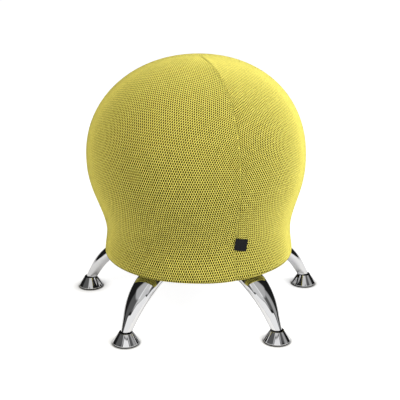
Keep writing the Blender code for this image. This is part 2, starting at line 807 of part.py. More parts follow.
def build_hub(parts, paint, axis):
    """Build the plates that clamp the legs, and the bolts from the lower plate into the tapped spider."""
    places = bolt_places()
    bolt_holes = [circle_points(BOLT_R + HOLE_GAP, SCREW_STEPS, place) for place in places]
    screw_holes = [circle_points(CUP_SCREW_R + HOLE_GAP, SCREW_STEPS, place)
                   for place in cup_screw_places()]
    spider = [spider_outline(), circle_points(SPIDER_HOLE_R, FOOT_STEPS)] + bolt_holes + screw_holes
    plate("top_spider", spider, SPIDER_Z, PLATE_T, parts, paint["black_steel"], axis)
    hub = [circle_points(HUB_R, PLATE_STEPS), circle_points(HUB_HOLE_R, FOOT_STEPS)] + bolt_holes
    plate("hub_plate", hub, HUB_Z, PLATE_T, parts, paint["black_steel"], axis)
    head_top = HUB_Z - SEAT_GAP
    bolt = screw_profile(BOLT_R, BOLT_HEAD_R, head_top - BOLT_HEAD_T, head_top, SPIDER_TOP_Z)
    for i, place in enumerate(places):
        leg = i // len(BOLT_CIRCLES_R) + 1
        row = i % len(BOLT_CIRCLES_R) + 1
        add_screw(f"leg_bolt_{leg}_{row}", place, bolt, parts, paint["steel"], axis)


def build_legs(parts, cutters, paint, axis):
    """Build the five legs with their plugs, studs and self-levelling feet."""
    bolt_holes = cylinder_cutter("leg_bolt_holes", [(radius, 0.0) for radius in BOLT_CIRCLES_R],
                                 BOLT_R + HOLE_GAP, HUB_Z, SPIDER_TOP_Z, cutters)
    stud_hole = cylinder_cutter("plug_stud_hole", [(FOOT_CIRCLE_R, 0.0)], STUD_NECK_R + HOLE_GAP,
                                PIVOT_Z, LEG_END_Z + STUD_SHANK_LENGTH, cutters)
    pattern_leg = add_object("leg_pattern", leg_mesh("leg"), cutters, paint["chrome"])
    pattern_plug = add_object("plug_pattern", plug_mesh("leg_plug"), cutters, paint["nylon"])
    cut(pattern_leg, bolt_holes)
    cut(pattern_plug, stud_hole)
    leg = evaluated_mesh(pattern_leg, "leg_tube")
    plug = evaluated_mesh(pattern_plug, "plug_body")
    for pattern in (pattern_leg, pattern_plug):
        bpy.data.objects.remove(pattern, do_unlink=True)
    for mesh in (leg, plug):
        smooth(mesh)
    cap = local(foot_cap_profile())
    socket = local(foot_socket_profile())
    pad = local(foot_pad_profile())
    for i, azimuth in enumerate(leg_azimuths(), start=1):
        arm = add_empty(f"arm_turn_{i}", parts, (0.0, 0.0, 0.0), turn_of(azimuth), axis)
        pivot = add_empty(f"foot_pivot_{i}", parts, (FOOT_CIRCLE_R, 0.0, PIVOT_Z), 0.0, arm)
        add_object(f"leg_{i}", leg, parts, paint["chrome"], arm)
        add_object(f"leg_plug_{i}", plug, parts, paint["nylon"], arm)
        turned(f"foot_stud_{i}", stud_profile(), STUD_STEPS, parts, paint["steel"], pivot)
        turned(f"foot_cap_{i}", cap, FOOT_STEPS, parts, paint["chrome"], pivot, closed=True)
        turned(f"foot_socket_{i}", socket, STUD_STEPS, parts, paint["nylon"], pivot)
        turned(f"foot_pad_{i}", pad, FOOT_STEPS, parts, paint["pad"], pivot)


def main():
    """Build the stool."""
    clear_scene()
    parts = new_collection("balance_stool")
    cutters = new_collection("balance_stool_cutters")
    paint = {
        "chrome": make_material("chrome", (0.82, 0.82, 0.84), 0.06, 1.0),
        "steel": make_material("zinc_steel", (0.55, 0.56, 0.58), 0.35, 1.0),
        "black_steel": make_material("black_steel", (0.03, 0.03, 0.03), 0.45),
        "nylon": make_material("black_nylon", (0.025, 0.025, 0.025), 0.5),
        "pad": make_material("pad_rubber", (0.05, 0.05, 0.05), 0.8),
        "cup": make_material("dish_plastic", (0.06, 0.06, 0.06), 0.55),
        "ball": make_material("ball_vinyl", (0.30, 0.31, 0.32), 0.5),
        "elastic": make_material("hem_elastic", (0.12, 0.11, 0.06), 0.9),
        "cover": make_material("mesh_fabric", (0.55, 0.50, 0.09), 0.85),
        "label": make_material("woven_label", (0.015, 0.015, 0.018), 0.8),
    }
    axis = add_empty("stool_axis", parts, (0.0, AXIS_Y, 0.0))
    build_seat(parts, cutters, paint, axis)
    build_hub(parts, paint, axis)
    build_legs(parts, cutters, paint, axis)


main()
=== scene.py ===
"""Looks of the balance stool: mesh cover, chromed legs and cone feet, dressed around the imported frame.

Metres, +Z up, front towards -Y. An azimuth is measured from the front towards +X. The stool's own axis
is vertical and passes through the middle of the hub plate.
"""

import json
import logging
import math
from dataclasses import dataclass
from enum import Enum
from typing import Any, Optional, Sequence, Union

import bpy
import numpy as np
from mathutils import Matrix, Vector


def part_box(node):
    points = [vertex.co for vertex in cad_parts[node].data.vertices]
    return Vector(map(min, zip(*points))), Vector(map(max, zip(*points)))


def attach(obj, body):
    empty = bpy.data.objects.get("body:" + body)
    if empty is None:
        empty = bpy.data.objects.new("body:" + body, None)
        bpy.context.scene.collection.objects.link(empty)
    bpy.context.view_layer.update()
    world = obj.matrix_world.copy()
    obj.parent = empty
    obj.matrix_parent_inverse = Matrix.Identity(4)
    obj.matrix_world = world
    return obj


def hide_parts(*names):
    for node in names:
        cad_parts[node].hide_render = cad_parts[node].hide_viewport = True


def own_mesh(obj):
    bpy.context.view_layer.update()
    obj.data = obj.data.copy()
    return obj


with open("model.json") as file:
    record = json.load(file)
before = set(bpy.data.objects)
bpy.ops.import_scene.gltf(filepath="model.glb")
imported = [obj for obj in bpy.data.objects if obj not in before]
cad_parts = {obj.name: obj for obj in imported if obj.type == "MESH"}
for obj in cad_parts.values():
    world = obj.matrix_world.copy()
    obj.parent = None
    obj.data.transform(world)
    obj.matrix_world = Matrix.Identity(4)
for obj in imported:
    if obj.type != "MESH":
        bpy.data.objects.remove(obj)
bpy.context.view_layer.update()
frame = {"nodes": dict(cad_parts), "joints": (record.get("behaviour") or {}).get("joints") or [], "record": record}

LOG = logging.getLogger("balance_stool")
Rgb = tuple[float, float, float]
Place = tuple[float, float, float]
Pair = tuple[float, float]
LEG_NUMBERS = range(1, 6)
SEEN_RAYS = ("Is Camera Ray", "Is Glossy Ray", "Is Transmission Ray")
WELD_DIGITS = 7
TINY = 1e-9
NEARLY_STRAIGHT = math.radians(88.8)


class Body(Enum):
    """The frame's bodies, apart from the five feet."""

    BASE = "base"
    SEAT = "seat"


class Slot(Enum):
    """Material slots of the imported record."""

    CHROME = "chrome"
    ZINC = "zinc_steel"
    BLACK_STEEL = "black_steel"
    NYLON = "black_nylon"
    PAD = "pad_rubber"
    DISH = "dish_plastic"
    BALL = "ball_vinyl"
    ELASTIC = "hem_elastic"
    MESH = "mesh_fabric"
    LABEL = "woven_label"


class Value:
    """A number socket of a shader that takes part in Python arithmetic."""

    def __init__(self, bench: "Bench", socket: bpy.types.NodeSocket) -> None:
        """Keep the socket, and the bench that adds Math nodes for it."""
        self.bench = bench
        self.socket = socket

    def math(self, operation: str, first: Any, second: Any = 0.0) -> "Value":
        """Add a Math node.

        Args:
            operation: The node's operation.
            first: Its first number or socket.
            second: Its second number or socket.

        Returns:
            The node's result.
        """
        return self.bench.add("ShaderNodeMath", {"operation": operation}, {0: first, 1: second})

    def __add__(self, other: Any) -> "Value":
        """Return the sum."""
        return self.math("ADD", self, other)

    def __radd__(self, other: Any) -> "Value":
        """Return the sum with a number on the left."""
        return self.math("ADD", other, self)

    def __sub__(self, other: Any) -> "Value":
        """Return the difference."""
        return self.math("SUBTRACT", self, other)

    def __rsub__(self, other: Any) -> "Value":
        """Return the difference from a number on the left."""
        return self.math("SUBTRACT", other, self)

    def __mul__(self, other: Any) -> "Value":
        """Return the product."""
        return self.math("MULTIPLY", self, other)

    def __rmul__(self, other: Any) -> "Value":
        """Return the product with a number on the left."""
        return self.math("MULTIPLY", other, self)

    def sine(self) -> "Value":
        """Return the sine."""
        return self.math("SINE", self)

    def largest(self, other: Any) -> "Value":
        """Return the larger of this and another value."""
        return self.math("MAXIMUM", self, other)

    def size(self) -> "Value":
        """Return the value without its sign."""
        return self.math("ABSOLUTE", self)


class Bench:
    """A node tree that materials and the world are made on."""

    def __init__(self, tree: bpy.types.NodeTree) -> None:
        """Start on an empty tree."""
        self.tree = tree
        tree.nodes.clear()

    def add(self, kind: str, settings: Optional[dict[str, Any]] = None,
            links: Optional[dict[Union[str, int], Any]] = None, out: Union[str, int] = 0) -> Value:
        """Add a node.

        Args:
            kind: The node's type.
            settings: Its own settings, which are set first.
            links: Values or sockets for its inputs, by name or number.
            out: The output that is returned.

        Returns:
            The chosen output.
        """
        node = self.tree.nodes.new(kind)
        for key, value in (settings or {}).items():
            setattr(node, key, value)
        for key, value in (links or {}).items():
            if isinstance(value, Value):
                self.tree.links.new(value.socket, node.inputs[key])
            else:
                node.inputs[key].default_value = value
        return Value(self, node.outputs[out] if node.outputs else None)

    def place(self) -> Value:
        """Return the object coordinates, in metres."""
        return self.add("ShaderNodeTexCoord", out="Object")

    def noise(self, vector: Value, scale: float, detail: float = 3.0) -> Value:
        """Return noise from 0 to 1 with this many lumps to a metre."""
        return self.add("ShaderNodeTexNoise", {}, {"Vector": vector, "Scale": scale, "Detail": detail})

    def step(self, value: Value, low: float, high: float) -> Value:
        """Return a smooth step from 0 at low to 1 at high."""
        return self.add("ShaderNodeMapRange", {"interpolation_type": "SMOOTHSTEP"},
                        {"Value": value, "From Min": low, "From Max": high})

    def fall(self, value: Value, low: float, high: float) -> Value:
        """Return a smooth step from 1 at low to 0 at high."""
        return 1.0 - self.step(value, low, high)

    def parts(self, vector: Value) -> list[Value]:
        """Return the three numbers of a vector."""
        node = self.add("ShaderNodeSeparateXYZ", {}, {0: vector}).socket.node
        return [Value(self, output) for output in node.outputs]

    def weave(self) -> list[Value]:
        """Return the numbers of a cloth piece's attribute "weave"."""
        return self.parts(self.add("ShaderNodeAttribute", {"attribute_name": "weave"}, out="Vector"))

    def mix(self, factor: Value, first: Any, second: Any) -> Value:
        """Return a blend of two colours.

        Args:
            factor: 0 for the first colour, 1 for the second.
            first: A colour, or a colour socket.
            second: A colour, or a colour socket.

        Returns:
            The blended colour.
        """
        ends = [end if isinstance(end, Value) else (*end, 1.0) for end in (first, second)]
        # A Mix node has its colours at inputs 6 and 7 and at output 2.
        return self.add("ShaderNodeMix", {"data_type": "RGBA"}, {0: factor, 6: ends[0], 7: ends[1]}, 2)

    def bump(self, height: Value, depth: float) -> Value:
        """Return a normal that follows a height from 0 to 1, at this depth in metres."""
        return self.add("ShaderNodeBump", {}, {"Height": height, "Distance": depth, "Strength": 1.0})

    def surface(self, sockets: dict[str, Any]) -> None:
        """Finish a material with a Principled shader that has these sockets."""
        shader = self.add("ShaderNodeBsdfPrincipled", {}, sockets)
        self.add("ShaderNodeOutputMaterial", {}, {"Surface": shader})


class Finish:
    """A finish that paints one material and shares it among its pieces."""

    slot: Slot

    def nodes(self, bench: Bench) -> None:
        """Lay out the material's nodes."""
        raise NotImplementedError

    def material(self) -> bpy.types.Material:
        """Return the finish's material, made at its first use."""
        name = f"finish_{self.slot.value}"
        made = bpy.data.materials.get(name)
        if made is None:
            made = bpy.data.materials.new(name)
            made.use_nodes = True
            self.nodes(Bench(made.node_tree))
        return made


@dataclass(frozen=True)
class Grained(Finish):
    """A plain surface with a fine grain and a little unevenness, for paint, plastic, rubber and plating."""

    slot: Slot
    colour: Rgb
    worn: Rgb
    roughness: float
    grain: float
    depth: float
    metallic: float = 0.0
    cloud: float = 35.0
    cloud_edges: Pair = (0.35, 0.7)
    grain_detail: float = 2.0
    grain_roughness: float = 0.12

    def nodes(self, bench: Bench) -> None:
        """Blend two tones by a wide cloud, and roughen and bump by a fine grain."""
        place = bench.place()
        cloud = bench.step(bench.noise(place, self.cloud), *self.cloud_edges)
        grain = bench.noise(place, self.grain, self.grain_detail)
        bench.surface({
            "Base Color": bench.mix(cloud, self.colour, self.worn),
            "Roughness": self.roughness + self.grain_roughness * (grain - 0.5),
            "Metallic": self.metallic,
            "Normal": bench.bump(grain, self.depth),
        })


@dataclass(frozen=True)
class Chrome(Finish):
    """Polished chrome plate: a clear mirror with a trace of haze in soft patches."""

    slot: Slot = Slot.CHROME
    colour: Rgb = (0.90, 0.90, 0.91)
    hazed: Rgb = (0.82, 0.82, 0.84)
    roughness: float = 0.025
    haze: float = 0.05
    patch: float = 22.0
    patch_edges: Pair = (0.52, 0.75)

    def nodes(self, bench: Bench) -> None:
        """Roughen and dim the mirror slightly in the patches."""
        patch = bench.step(bench.noise(bench.place(), self.patch), *self.patch_edges)
        bench.surface({
            "Base Color": bench.mix(patch, self.colour, self.hazed),
            "Roughness": self.roughness + self.haze * patch,
            "Metallic": 1.0,
        })


@dataclass(frozen=True)
class MeshYarn(Finish):
    """Knitted spacer mesh: bright yarn between holes that sink to a dark floor, the spacer's darker inner layer
    with painted shade over it.

    The attribute "weave" holds a place across and down the gore, in metres, and how deep it lies in a
    hole, from 0 on the yarn to 1 on the hole's floor; on the seam band it sets the painted shade.
    """

    slot: Slot = Slot.MESH
    yarn: Rgb = (0.80, 0.72, 0.155)
    shade: Rgb = (0.72, 0.64, 0.125)
    # Nearly black: the holes' darker inner layer, with their shade painted in.
    hole_ground_and_shade: Rgb = (0.030, 0.025, 0.001)
    cloud: float = 160.0
    cloud_edges: Pair = (0.3, 0.7)
    hole_edges: Pair = (0.42, 0.70)
    rib: float = 0.0011
    rib_depth: float = 0.00015
    rib_slants: Pair = (0.6, 0.3)
    roughness: float = 0.82
    hole_roughness: float = 0.1
    gloss: float = 0.12
    sheen: float = 0.05
    sheen_roughness: float = 0.4
    sheen_tint: Rgb = (1.0, 0.95, 0.6)

    def nodes(self, bench: Bench) -> None:
        """Paint shade into the holes, down to their dark floor colour, and twist fine ribs along the yarn."""
        across, down, hole = bench.weave()
        turn = math.tau / self.rib
        first, second = (slant * turn for slant in self.rib_slants)
        twist = (across * turn + down * first).sine() * (down * turn - across * second).sine()
        cloud = bench.step(bench.noise(bench.place(), self.cloud), *self.cloud_edges)
        # Painted shade: the colour runs to the dark floor colour deep in a hole and on the seam band's stitches.
        deep = bench.step(hole, *self.hole_edges)
        yarn = bench.mix(cloud, self.yarn, self.shade)
        bench.surface({
            "Base Color": bench.mix(deep, yarn, self.hole_ground_and_shade),
            "Roughness": self.roughness + self.hole_roughness * deep,
            "Sheen Weight": self.sheen,
            "Sheen Roughness": self.sheen_roughness,
            "Sheen Tint": (*self.sheen_tint, 1.0),
            "Specular IOR Level": self.gloss,
            "Normal": bench.bump((twist * 0.5 + 0.5) * (1.0 - deep), self.rib_depth),
        })


@dataclass(frozen=True)
class WovenTag(Finish):
    """A blank black tag in a fine plain weave; the attribute "weave" runs across and down it."""

    slot: Slot = Slot.LABEL
    thread: Rgb = (0.009, 0.009, 0.012)
    gap: Rgb = (0.003, 0.003, 0.004)
    pitch: float = 0.0007
    thread_edges: Pair = (-0.6, 0.6)
    thread_depth: float = 0.0001
    roughness: float = 0.62
    thread_roughness: float = 0.2
    gloss: float = 0.2

    def nodes(self, bench: Bench) -> None:
        """Cross two sets of threads."""
        across, down, _ = bench.weave()
        turn = math.tau / self.pitch
        over = bench.step((across * turn).sine() * (down * turn).sine(), *self.thread_edges)
        bench.surface({
            "Base Color": bench.mix(over, self.gap, self.thread),
            "Roughness": self.roughness + self.thread_roughness * over,
            "Specular IOR Level": self.gloss,
            "Normal": bench.bump(over, self.thread_depth),
        })


@dataclass(frozen=True)
class ElasticCord(Finish):
    """Covered elastic: a round cord with slanting threads."""

    slot: Slot = Slot.ELASTIC
    light: Rgb = (0.16, 0.145, 0.07)
    dark: Rgb = (0.07, 0.062, 0.03)
    threads: float = 420.0
    waver: float = 1.5
    thread_depth: float = 0.0002
    roughness: float = 0.75
    thread_roughness: float = 0.15

    def nodes(self, bench: Bench) -> None:
        """Band the cord with fine threads."""
        band = bench.add("ShaderNodeTexWave", {"bands_direction": "DIAGONAL"},
                         {"Vector": bench.place(), "Scale": self.threads, "Distortion": self.waver}, "Fac")
        bench.surface({
            "Base Color": bench.mix(band, self.dark, self.light),
            "Roughness": self.roughness + self.thread_roughness * band,
            "Normal": bench.bump(band, self.thread_depth),
        })


CHROME = Chrome()
MESH_YARN = MeshYarn()
WOVEN_TAG = WovenTag()
ELASTIC_CORD = ElasticCord()
POWDER_COAT = Grained(Slot.BLACK_STEEL, (0.022, 0.022, 0.023), (0.034, 0.034, 0.035), 0.48, 900.0, 0.00006)
ZINC_PLATE = Grained(Slot.ZINC, (0.56, 0.57, 0.59), (0.44, 0.45, 0.48), 0.33, 500.0, 0.00001, 1.0, 120.0)
NYLON = Grained(Slot.NYLON, (0.018, 0.018, 0.019), (0.030, 0.030, 0.031), 0.52, 700.0, 0.00003)
PAD_RUBBER = Grained(Slot.PAD, (0.030, 0.030, 0.031), (0.055, 0.054, 0.052), 0.80, 800.0, 0.00008)
DISH_PLASTIC = Grained(Slot.DISH, (0.032, 0.032, 0.033), (0.048, 0.048, 0.049), 0.56, 600.0, 0.00008)
BALL_VINYL = Grained(Slot.BALL, (0.26, 0.27, 0.28), (0.31, 0.32, 0.33), 0.50, 260.0, 0.00012)


def superellipse(half_width: Any, half_height: Any, angle: np.ndarray, power: Any) -> list[np.ndarray]:
    """Return the two coordinates of points round a superellipse: signed powers of cosine and sine.

    Args:
        half_width: Half of its width, one number or one to a row.
        half_height: Half of its height, likewise.
        angle: Angles of the points.
        power: Its power, 2 for an ellipse, likewise.

    Returns:
        The coordinates along its width and its height.
    """
    waves = ((half_width, np.cos(angle)), (half_height, np.sin(angle)))
    return [half * np.sign(wave) * np.abs(wave) ** (2.0 / power) for half, wave in waves]


def ease(share: np.ndarray) -> np.ndarray:
    """Return a smooth step from 0 to 1 of shares that are held to that range."""
    held = np.clip(share, 0.0, 1.0)
    return held * held * (3.0 - 2.0 * held)


def grid_faces(rows: int, columns: int, wrap_rows: bool = False, wrap_columns: bool = False) -> np.ndarray:
    """Return the quads of a grid of points that is stored row by row.

    Args:
        rows: Number of rows.
        columns: Number of points in a row.
        wrap_rows: Whether the last row joins the first.
        wrap_columns: Whether each row is a ring.

    Returns:
        An array of four point numbers for each face.
    """
    last_row, last_column = rows - (not wrap_rows), columns - (not wrap_columns)
    j, i = np.meshgrid(np.arange(last_row), np.arange(last_column), indexing="ij")
    below, beside = (j + 1) % rows, (i + 1) % columns
    corners = [j * columns + i, below * columns + i, below * columns + beside, j * columns + beside]
    return np.stack([corner.ravel() for corner in corners], axis=1)


def welded(points: np.ndarray, quads: np.ndarray) -> tuple[np.ndarray, list[np.ndarray]]:
    """Merge points that lie in one place, as at a pole, and turn the quads that shrink there into triangles.

    Args:
        points: The points, one row each.
        quads: Four point numbers for each face.

    Returns:
        The points that are left, and the arrays of quads and of triangles.
    """
    _, first, where = np.unique(np.round(points, WELD_DIGITS), axis=0, return_index=True, return_inverse=True)
    quads = where.reshape(-1)[quads]
    same = quads == np.roll(quads, -1, axis=1)
    whole = quads[~same.any(axis=1)]
    shrunk, twin = quads[same.sum(axis=1) == 1], same[same.sum(axis=1) == 1]
    order = (np.argmax(twin, axis=1)[:, None] + np.arange(1, 4)) % 4
    return points[first], [whole, np.take_along_axis(shrunk, order, axis=1)]


def in_use(groups: Sequence[np.ndarray]) -> tuple[np.ndarray, list[np.ndarray]]:
    """Drop the points that no face uses.

    Args:
        groups: Arrays of faces, each array with one number of corners to a face.

    Returns:
        The numbers of the points that are used, and the faces with those points numbered anew.
    """
    used, where = np.unique(np.concatenate([group.ravel() for group in groups]), return_inverse=True)
    sizes = np.cumsum([0] + [group.size for group in groups])
    return used, [where[a:b].reshape(group.shape) for a, b, group in zip(sizes, sizes[1:], groups)]


def make_piece(name: str, points: np.ndarray, groups: Sequence[np.ndarray], finish: Finish,
               weave: Optional[np.ndarray] = None, crease: Optional[float] = 40.0) -> bpy.types.Object:
    """Put a mesh into the scene as a named piece with its finish.

    Args:
        name: The piece's name.
        points: The points, one row each.
        groups: Arrays of faces, each array with one number of corners to a face.
        finish: The finish that it wears.
        weave: Values of the attribute "weave", one row to a point.
        crease: Angle in degrees past which an edge stays sharp, or None for none.

    Returns:
        The new object.
    """
    groups = [group for group in groups if len(group)]
    corners = np.concatenate([group.ravel() for group in groups])
    counts = np.concatenate([np.full(len(group), group.shape[1]) for group in groups])
    mesh = bpy.data.meshes.new(name)
    mesh.vertices.add(len(points))
    mesh.vertices.foreach_set("co", np.ascontiguousarray(points, dtype=np.float32).ravel())
    mesh.loops.add(len(corners))
    mesh.loops.foreach_set("vertex_index", corners.astype(np.int32))
    mesh.polygons.add(len(counts))
    mesh.polygons.foreach_set("loop_start", (np.cumsum(counts) - counts).astype(np.int32))
    mesh.update(calc_edges=True)
    mesh.shade_smooth()
    if crease is not None:
        mesh.set_sharp_from_angle(angle=math.radians(crease))
    if weave is not None:
        layer = mesh.attributes.new("weave", "FLOAT_VECTOR", "POINT")
        layer.data.foreach_set("vector", np.ascontiguousarray(weave, dtype=np.float32).ravel())
    mesh.materials.append(finish.material())
    item = bpy.data.objects.new(name, mesh)
    bpy.context.scene.collection.objects.link(item)
    return item


def put_on(piece: bpy.types.Object, body: str, slot: Slot, *nodes: str) -> bpy.types.Object:
    """Let a piece ride on a body, in the place of the CAD nodes that it stands for.

    Args:
        piece: The piece.
        body: The body's name.
        slot: Its material slot; not used.
        nodes: The CAD nodes that it replaces.

    Returns:
        The piece.
    """
    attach(piece, body)
    if nodes:
        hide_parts(*nodes)
    LOG.info("%s: %d faces on %s", piece.name, len(piece.data.polygons), body)
    return piece


def rounded(corners: Sequence[tuple[float, float, float]], steps: int = 5) -> np.ndarray:
    """Return an outline with its corners rounded by arcs.

    Args:
        corners: The (radius, height, fillet) of each corner; the first and last are plain ends.
        steps: Segments to an arc.

    Returns:
        The outline's (radius, height) points.
    """
    place = np.array([corner[:2] for corner in corners])
    runs = [place[:1]]
    for k in range(1, len(corners) - 1):
        fillet = corners[k][2]
        back, ahead = place[k - 1] - place[k], place[k + 1] - place[k]
        back, ahead = back / np.linalg.norm(back), ahead / np.linalg.norm(ahead)
        half = math.acos(float(np.clip(back @ ahead, -1.0, 1.0))) / 2.0
        if fillet <= 0.0 or half > NEARLY_STRAIGHT:
            runs.append(place[k:k + 1])
            continue
        middle = (back + ahead) / np.linalg.norm(back + ahead)
        centre = place[k] + middle * fillet / math.sin(half)
        sweep = math.pi / 2.0 - half
        side = np.array([-middle[1], middle[0]])
        side = side if side @ back > 0.0 else -side
        angles = np.linspace(sweep, -sweep, steps + 1)[:, None]
        runs.append(centre - fillet * np.cos(angles) * middle + fillet * np.sin(angles) * side)
    runs.append(place[-1:])
    return np.concatenate(runs)


def turned(outline: np.ndarray, steps: int, closed: bool = False,
           hexed: int = 0) -> tuple[np.ndarray, list[np.ndarray]]:
    """Turn an outline about the vertical: each (radius, height) point sweeps a ring.

    Args:
        outline: Points that run down the outer side, from pole to pole unless it is closed.
        steps: Points to a ring.
        closed: Whether the outline's end joins its start.
        hexed: How many of the last points sweep a hexagon instead, with the radius at its corners.

    Returns:
        The points and the arrays of faces.
    """
    angles = np.arange(steps) * math.tau / steps
    radius, height = outline[:, :1] + 0.0 * angles, outline[:, 1:]
    sixth = np.mod(angles, math.pi / 3.0) - math.pi / 6.0
    if hexed:
        radius[-hexed:] *= math.cos(math.pi / 6.0) / np.cos(sixth)
    grid = np.stack([radius * np.cos(angles), radius * np.sin(angles), height + 0.0 * angles], axis=-1)
    return welded(grid.reshape(-1, 3), grid_faces(len(outline), steps, closed, True))


@dataclass(frozen=True)
class Layout:
    """The stool's axis and how its legs stand round it."""

    axis_y: float
    foot_circle_r: float = 0.275
    front_leg_azimuth: float = math.radians(36.0)

    def leg_turn(self, number: int) -> float:
        """Return the polar angle of a leg, from +X."""
        return self.front_leg_azimuth + math.tau * (number - 1) / len(LEG_NUMBERS) - math.pi / 2.0

    def stand(self, points: np.ndarray, turn: float = 0.0) -> np.ndarray:
        """Turn points about the stool's axis and put them where the axis stands.

        Args:
            points: Points in a frame whose Z axis is the stool's axis.
            turn: Angle about that axis.

        Returns:
            The points in the frame of the whole stool.
        """
        cos, sin = math.cos(turn), math.sin(turn)
        x, y = points[:, 0] * cos - points[:, 1] * sin, points[:, 0] * sin + points[:, 1] * cos
        return np.stack([x, y + self.axis_y, points[:, 2]], axis=1)


@dataclass(frozen=True)
class CoverForm:
    """The cover's outer surface: a crowned ball drawn in to a waist, with a hem turned under a hoop."""

    top_z: float = 0.5785
    equator_r: float = 0.2461
    equator_z: float = 0.3562
    crown_power: float = 2.112
    waist_r: float = 0.2107
    waist_z: float = 0.1854
    waist_skew: float = 1.155
    hem_r: float = 0.2159
    hem_z: float = 0.1305
    hem_bend: float = 0.003
    hem_lip: float = 0.0165
    thickness: float = 0.0028
    bow: float = 0.0057
    samples: int = 900
    bend_samples: int = 24
    lip_samples: int = 12

    def bowed(self, points: np.ndarray) -> np.ndarray:
        """Return points with the ball's slight sideways bow, half a sine wave between waist and top."""
        share = np.clip((points[:, 2] - self.waist_z) / (self.top_z - self.waist_z), 0.0, 1.0)
        aside = -self.bow * np.sin(math.pi * share)
        return points + np.stack([aside, 0.0 * aside, 0.0 * aside], axis=1)

    def side_r(self, height: np.ndarray) -> np.ndarray:
        """Return the radius below the equator: a cosine swell down to the waist, then a smooth step out."""
        share = np.clip((self.equator_z - height) / (self.equator_z - self.waist_z), 0.0, 1.0)
        swell = (1.0 + np.cos(math.pi * share ** self.waist_skew)) / 2.0
        flare = ease((self.waist_z - height) / (self.waist_z - self.hem_z))
        upper = self.waist_r + (self.equator_r - self.waist_r) * swell
        return np.where(height >= self.waist_z, upper, self.waist_r + (self.hem_r - self.waist_r) * flare)

    def outline(self) -> np.ndarray:
        """Return (radius, height) points from the pole down to the lip, a superellipse above the equator."""
        angle = np.linspace(math.pi / 2.0, 0.0, self.samples)
        rise = self.top_z - self.equator_z
        crown_r, crown_h = superellipse(self.equator_r, rise, angle, self.crown_power)
        height = np.linspace(self.equator_z, self.hem_z + self.hem_bend, self.samples)[1:]
        bend = np.linspace(0.0, math.pi / 2.0, self.bend_samples)[1:]
        start_r = float(self.side_r(height[-1:])[0])
        bend_r = start_r - self.hem_bend * (1.0 - np.cos(bend))
        bend_h = self.hem_z + self.hem_bend * (1.0 - np.sin(bend))
        lip_r = np.linspace(bend_r[-1], self.hem_r - self.hem_lip, self.lip_samples)[1:]
        lip_h = np.full(lip_r.shape, self.hem_z)
        radius = np.concatenate([crown_r, self.side_r(height), bend_r, lip_r])
        level = np.concatenate([self.equator_z + crown_h, height, bend_h, lip_h])
        return np.stack([radius, level], axis=1)


class Meridian:
    """A profile measured by the run along it from the pole, with its outward normals."""

    def __init__(self, form: CoverForm) -> None:
        """Measure the cover's outline."""
        self.line = form.outline()
        lengths = np.linalg.norm(np.diff(self.line, axis=0), axis=1)
        self.run = np.concatenate([[0.0], np.cumsum(lengths)])
        tangent = np.gradient(self.line, self.run, axis=0)
        tangent /= np.linalg.norm(tangent, axis=1)[:, None]
        self.normal = np.stack([-tangent[:, 1], tangent[:, 0]], axis=1)
        self.length = float(self.run[-1])
        self.equator = float(self.run[form.samples - 1])
        self.area = float(np.sum(math.tau * (self.line[1:, 0] + self.line[:-1, 0]) / 2.0 * lengths))

    def radius(self, run: np.ndarray) -> np.ndarray:
        """Return the radius at a run."""
        return np.interp(run, self.run, self.line[:, 0])

    def at_height(self, height: np.ndarray) -> np.ndarray:
        """Return the run at a height between the crown and the hem."""
        return np.interp(-height, -self.line[:, 1], self.run)

    def surface(self, run: np.ndarray, turn: np.ndarray, depth: Any) -> np.ndarray:
        """Return points on the cover.

        Args:
            run: Runs down the meridian.
            turn: Polar angles about the axis.
            depth: How far the points lie under the outer surface.

        Returns:
            One row of x, y, z to a point.
        """
        out, up = (np.interp(run, self.run, self.normal[:, k]) for k in range(2))
        across = self.radius(run) - depth * out
        level = np.interp(run, self.run, self.line[:, 1]) - depth * up
        return np.stack([across * np.cos(turn), across * np.sin(turn), level], axis=-1)


@dataclass(frozen=True)
class SideTag:
    """The blank side label: a thin tag sewn in at the first seam, its free edge a little raised."""

    width: float = 0.028
    height: float = 0.0285
    middle_z: float = 0.2150
    tuck: float = 0.0019
    turn: float = math.radians(12.5)
    lean: float = math.radians(4.5)
    thickness: float = 0.0009
    edge_thickness: float = 0.45
    edge_share: float = 0.04
    gap: float = 0.0006
    curl: float = 0.0016
    curl_slant: float = 0.6
    ripple: float = 0.0003
    ripple_ways: Pair = (7.0, 3.0)
    columns: int = 25
    rows: int = 21
    crease: float = 60.0

    def build(self, cover: "Cover") -> bpy.types.Object:
        """Make the tag: a grid of shares across and down, laid on the cover with an upper and an under side.

        Args:
            cover: The cover that it lies on.

        Returns:
            The piece.
        """
        across, down = np.meshgrid(np.linspace(0.0, 1.0, self.columns), np.linspace(0.5, -0.5, self.rows))
        width, height = self.width * across, self.height * down
        beside = width * math.cos(self.turn) + height * math.sin(self.lean) - self.tuck
        run = width * math.sin(self.turn) - height * math.cos(self.lean)
        run = run + cover.meridian.at_height(self.middle_z)
        turn = cover.seam_turn(1) + beside / cover.form.waist_r
        ripple = np.sin(across * self.ripple_ways[0] + down * self.ripple_ways[1]) * across
        lift = self.gap + self.curl * ease(across - self.curl_slant * down) + self.ripple * ripple
        edge = np.minimum(np.minimum(1.0 - across, 0.5 - np.abs(down)) / self.edge_share, 1.0)
        thick = self.thickness * (self.edge_thickness + (1.0 - self.edge_thickness) * np.sqrt(edge))
        sides = [cover.meridian.surface(run, turn, -level).reshape(-1, 3) for level in (lift + thick, lift)]
        faces = grid_faces(self.rows, self.columns)
        number = np.arange(across.size).reshape(across.shape)
        rim = np.concatenate([number[0, :-1], number[:-1, -1], number[-1, :0:-1], number[:0:-1, 0]])
        ahead, count = np.roll(rim, -1), across.size
        walls = np.stack([rim, ahead, ahead + count, rim + count], axis=1)
        weave = np.stack([width, height, 0.0 * width], axis=-1).reshape(-1, 3)
        groups = [faces, faces[:, ::-1] + count, walls]
        return make_piece("side_tag", cover.stand(np.concatenate(sides)), groups, WOVEN_TAG,
                          np.tile(weave, (2, 1)), self.crease)


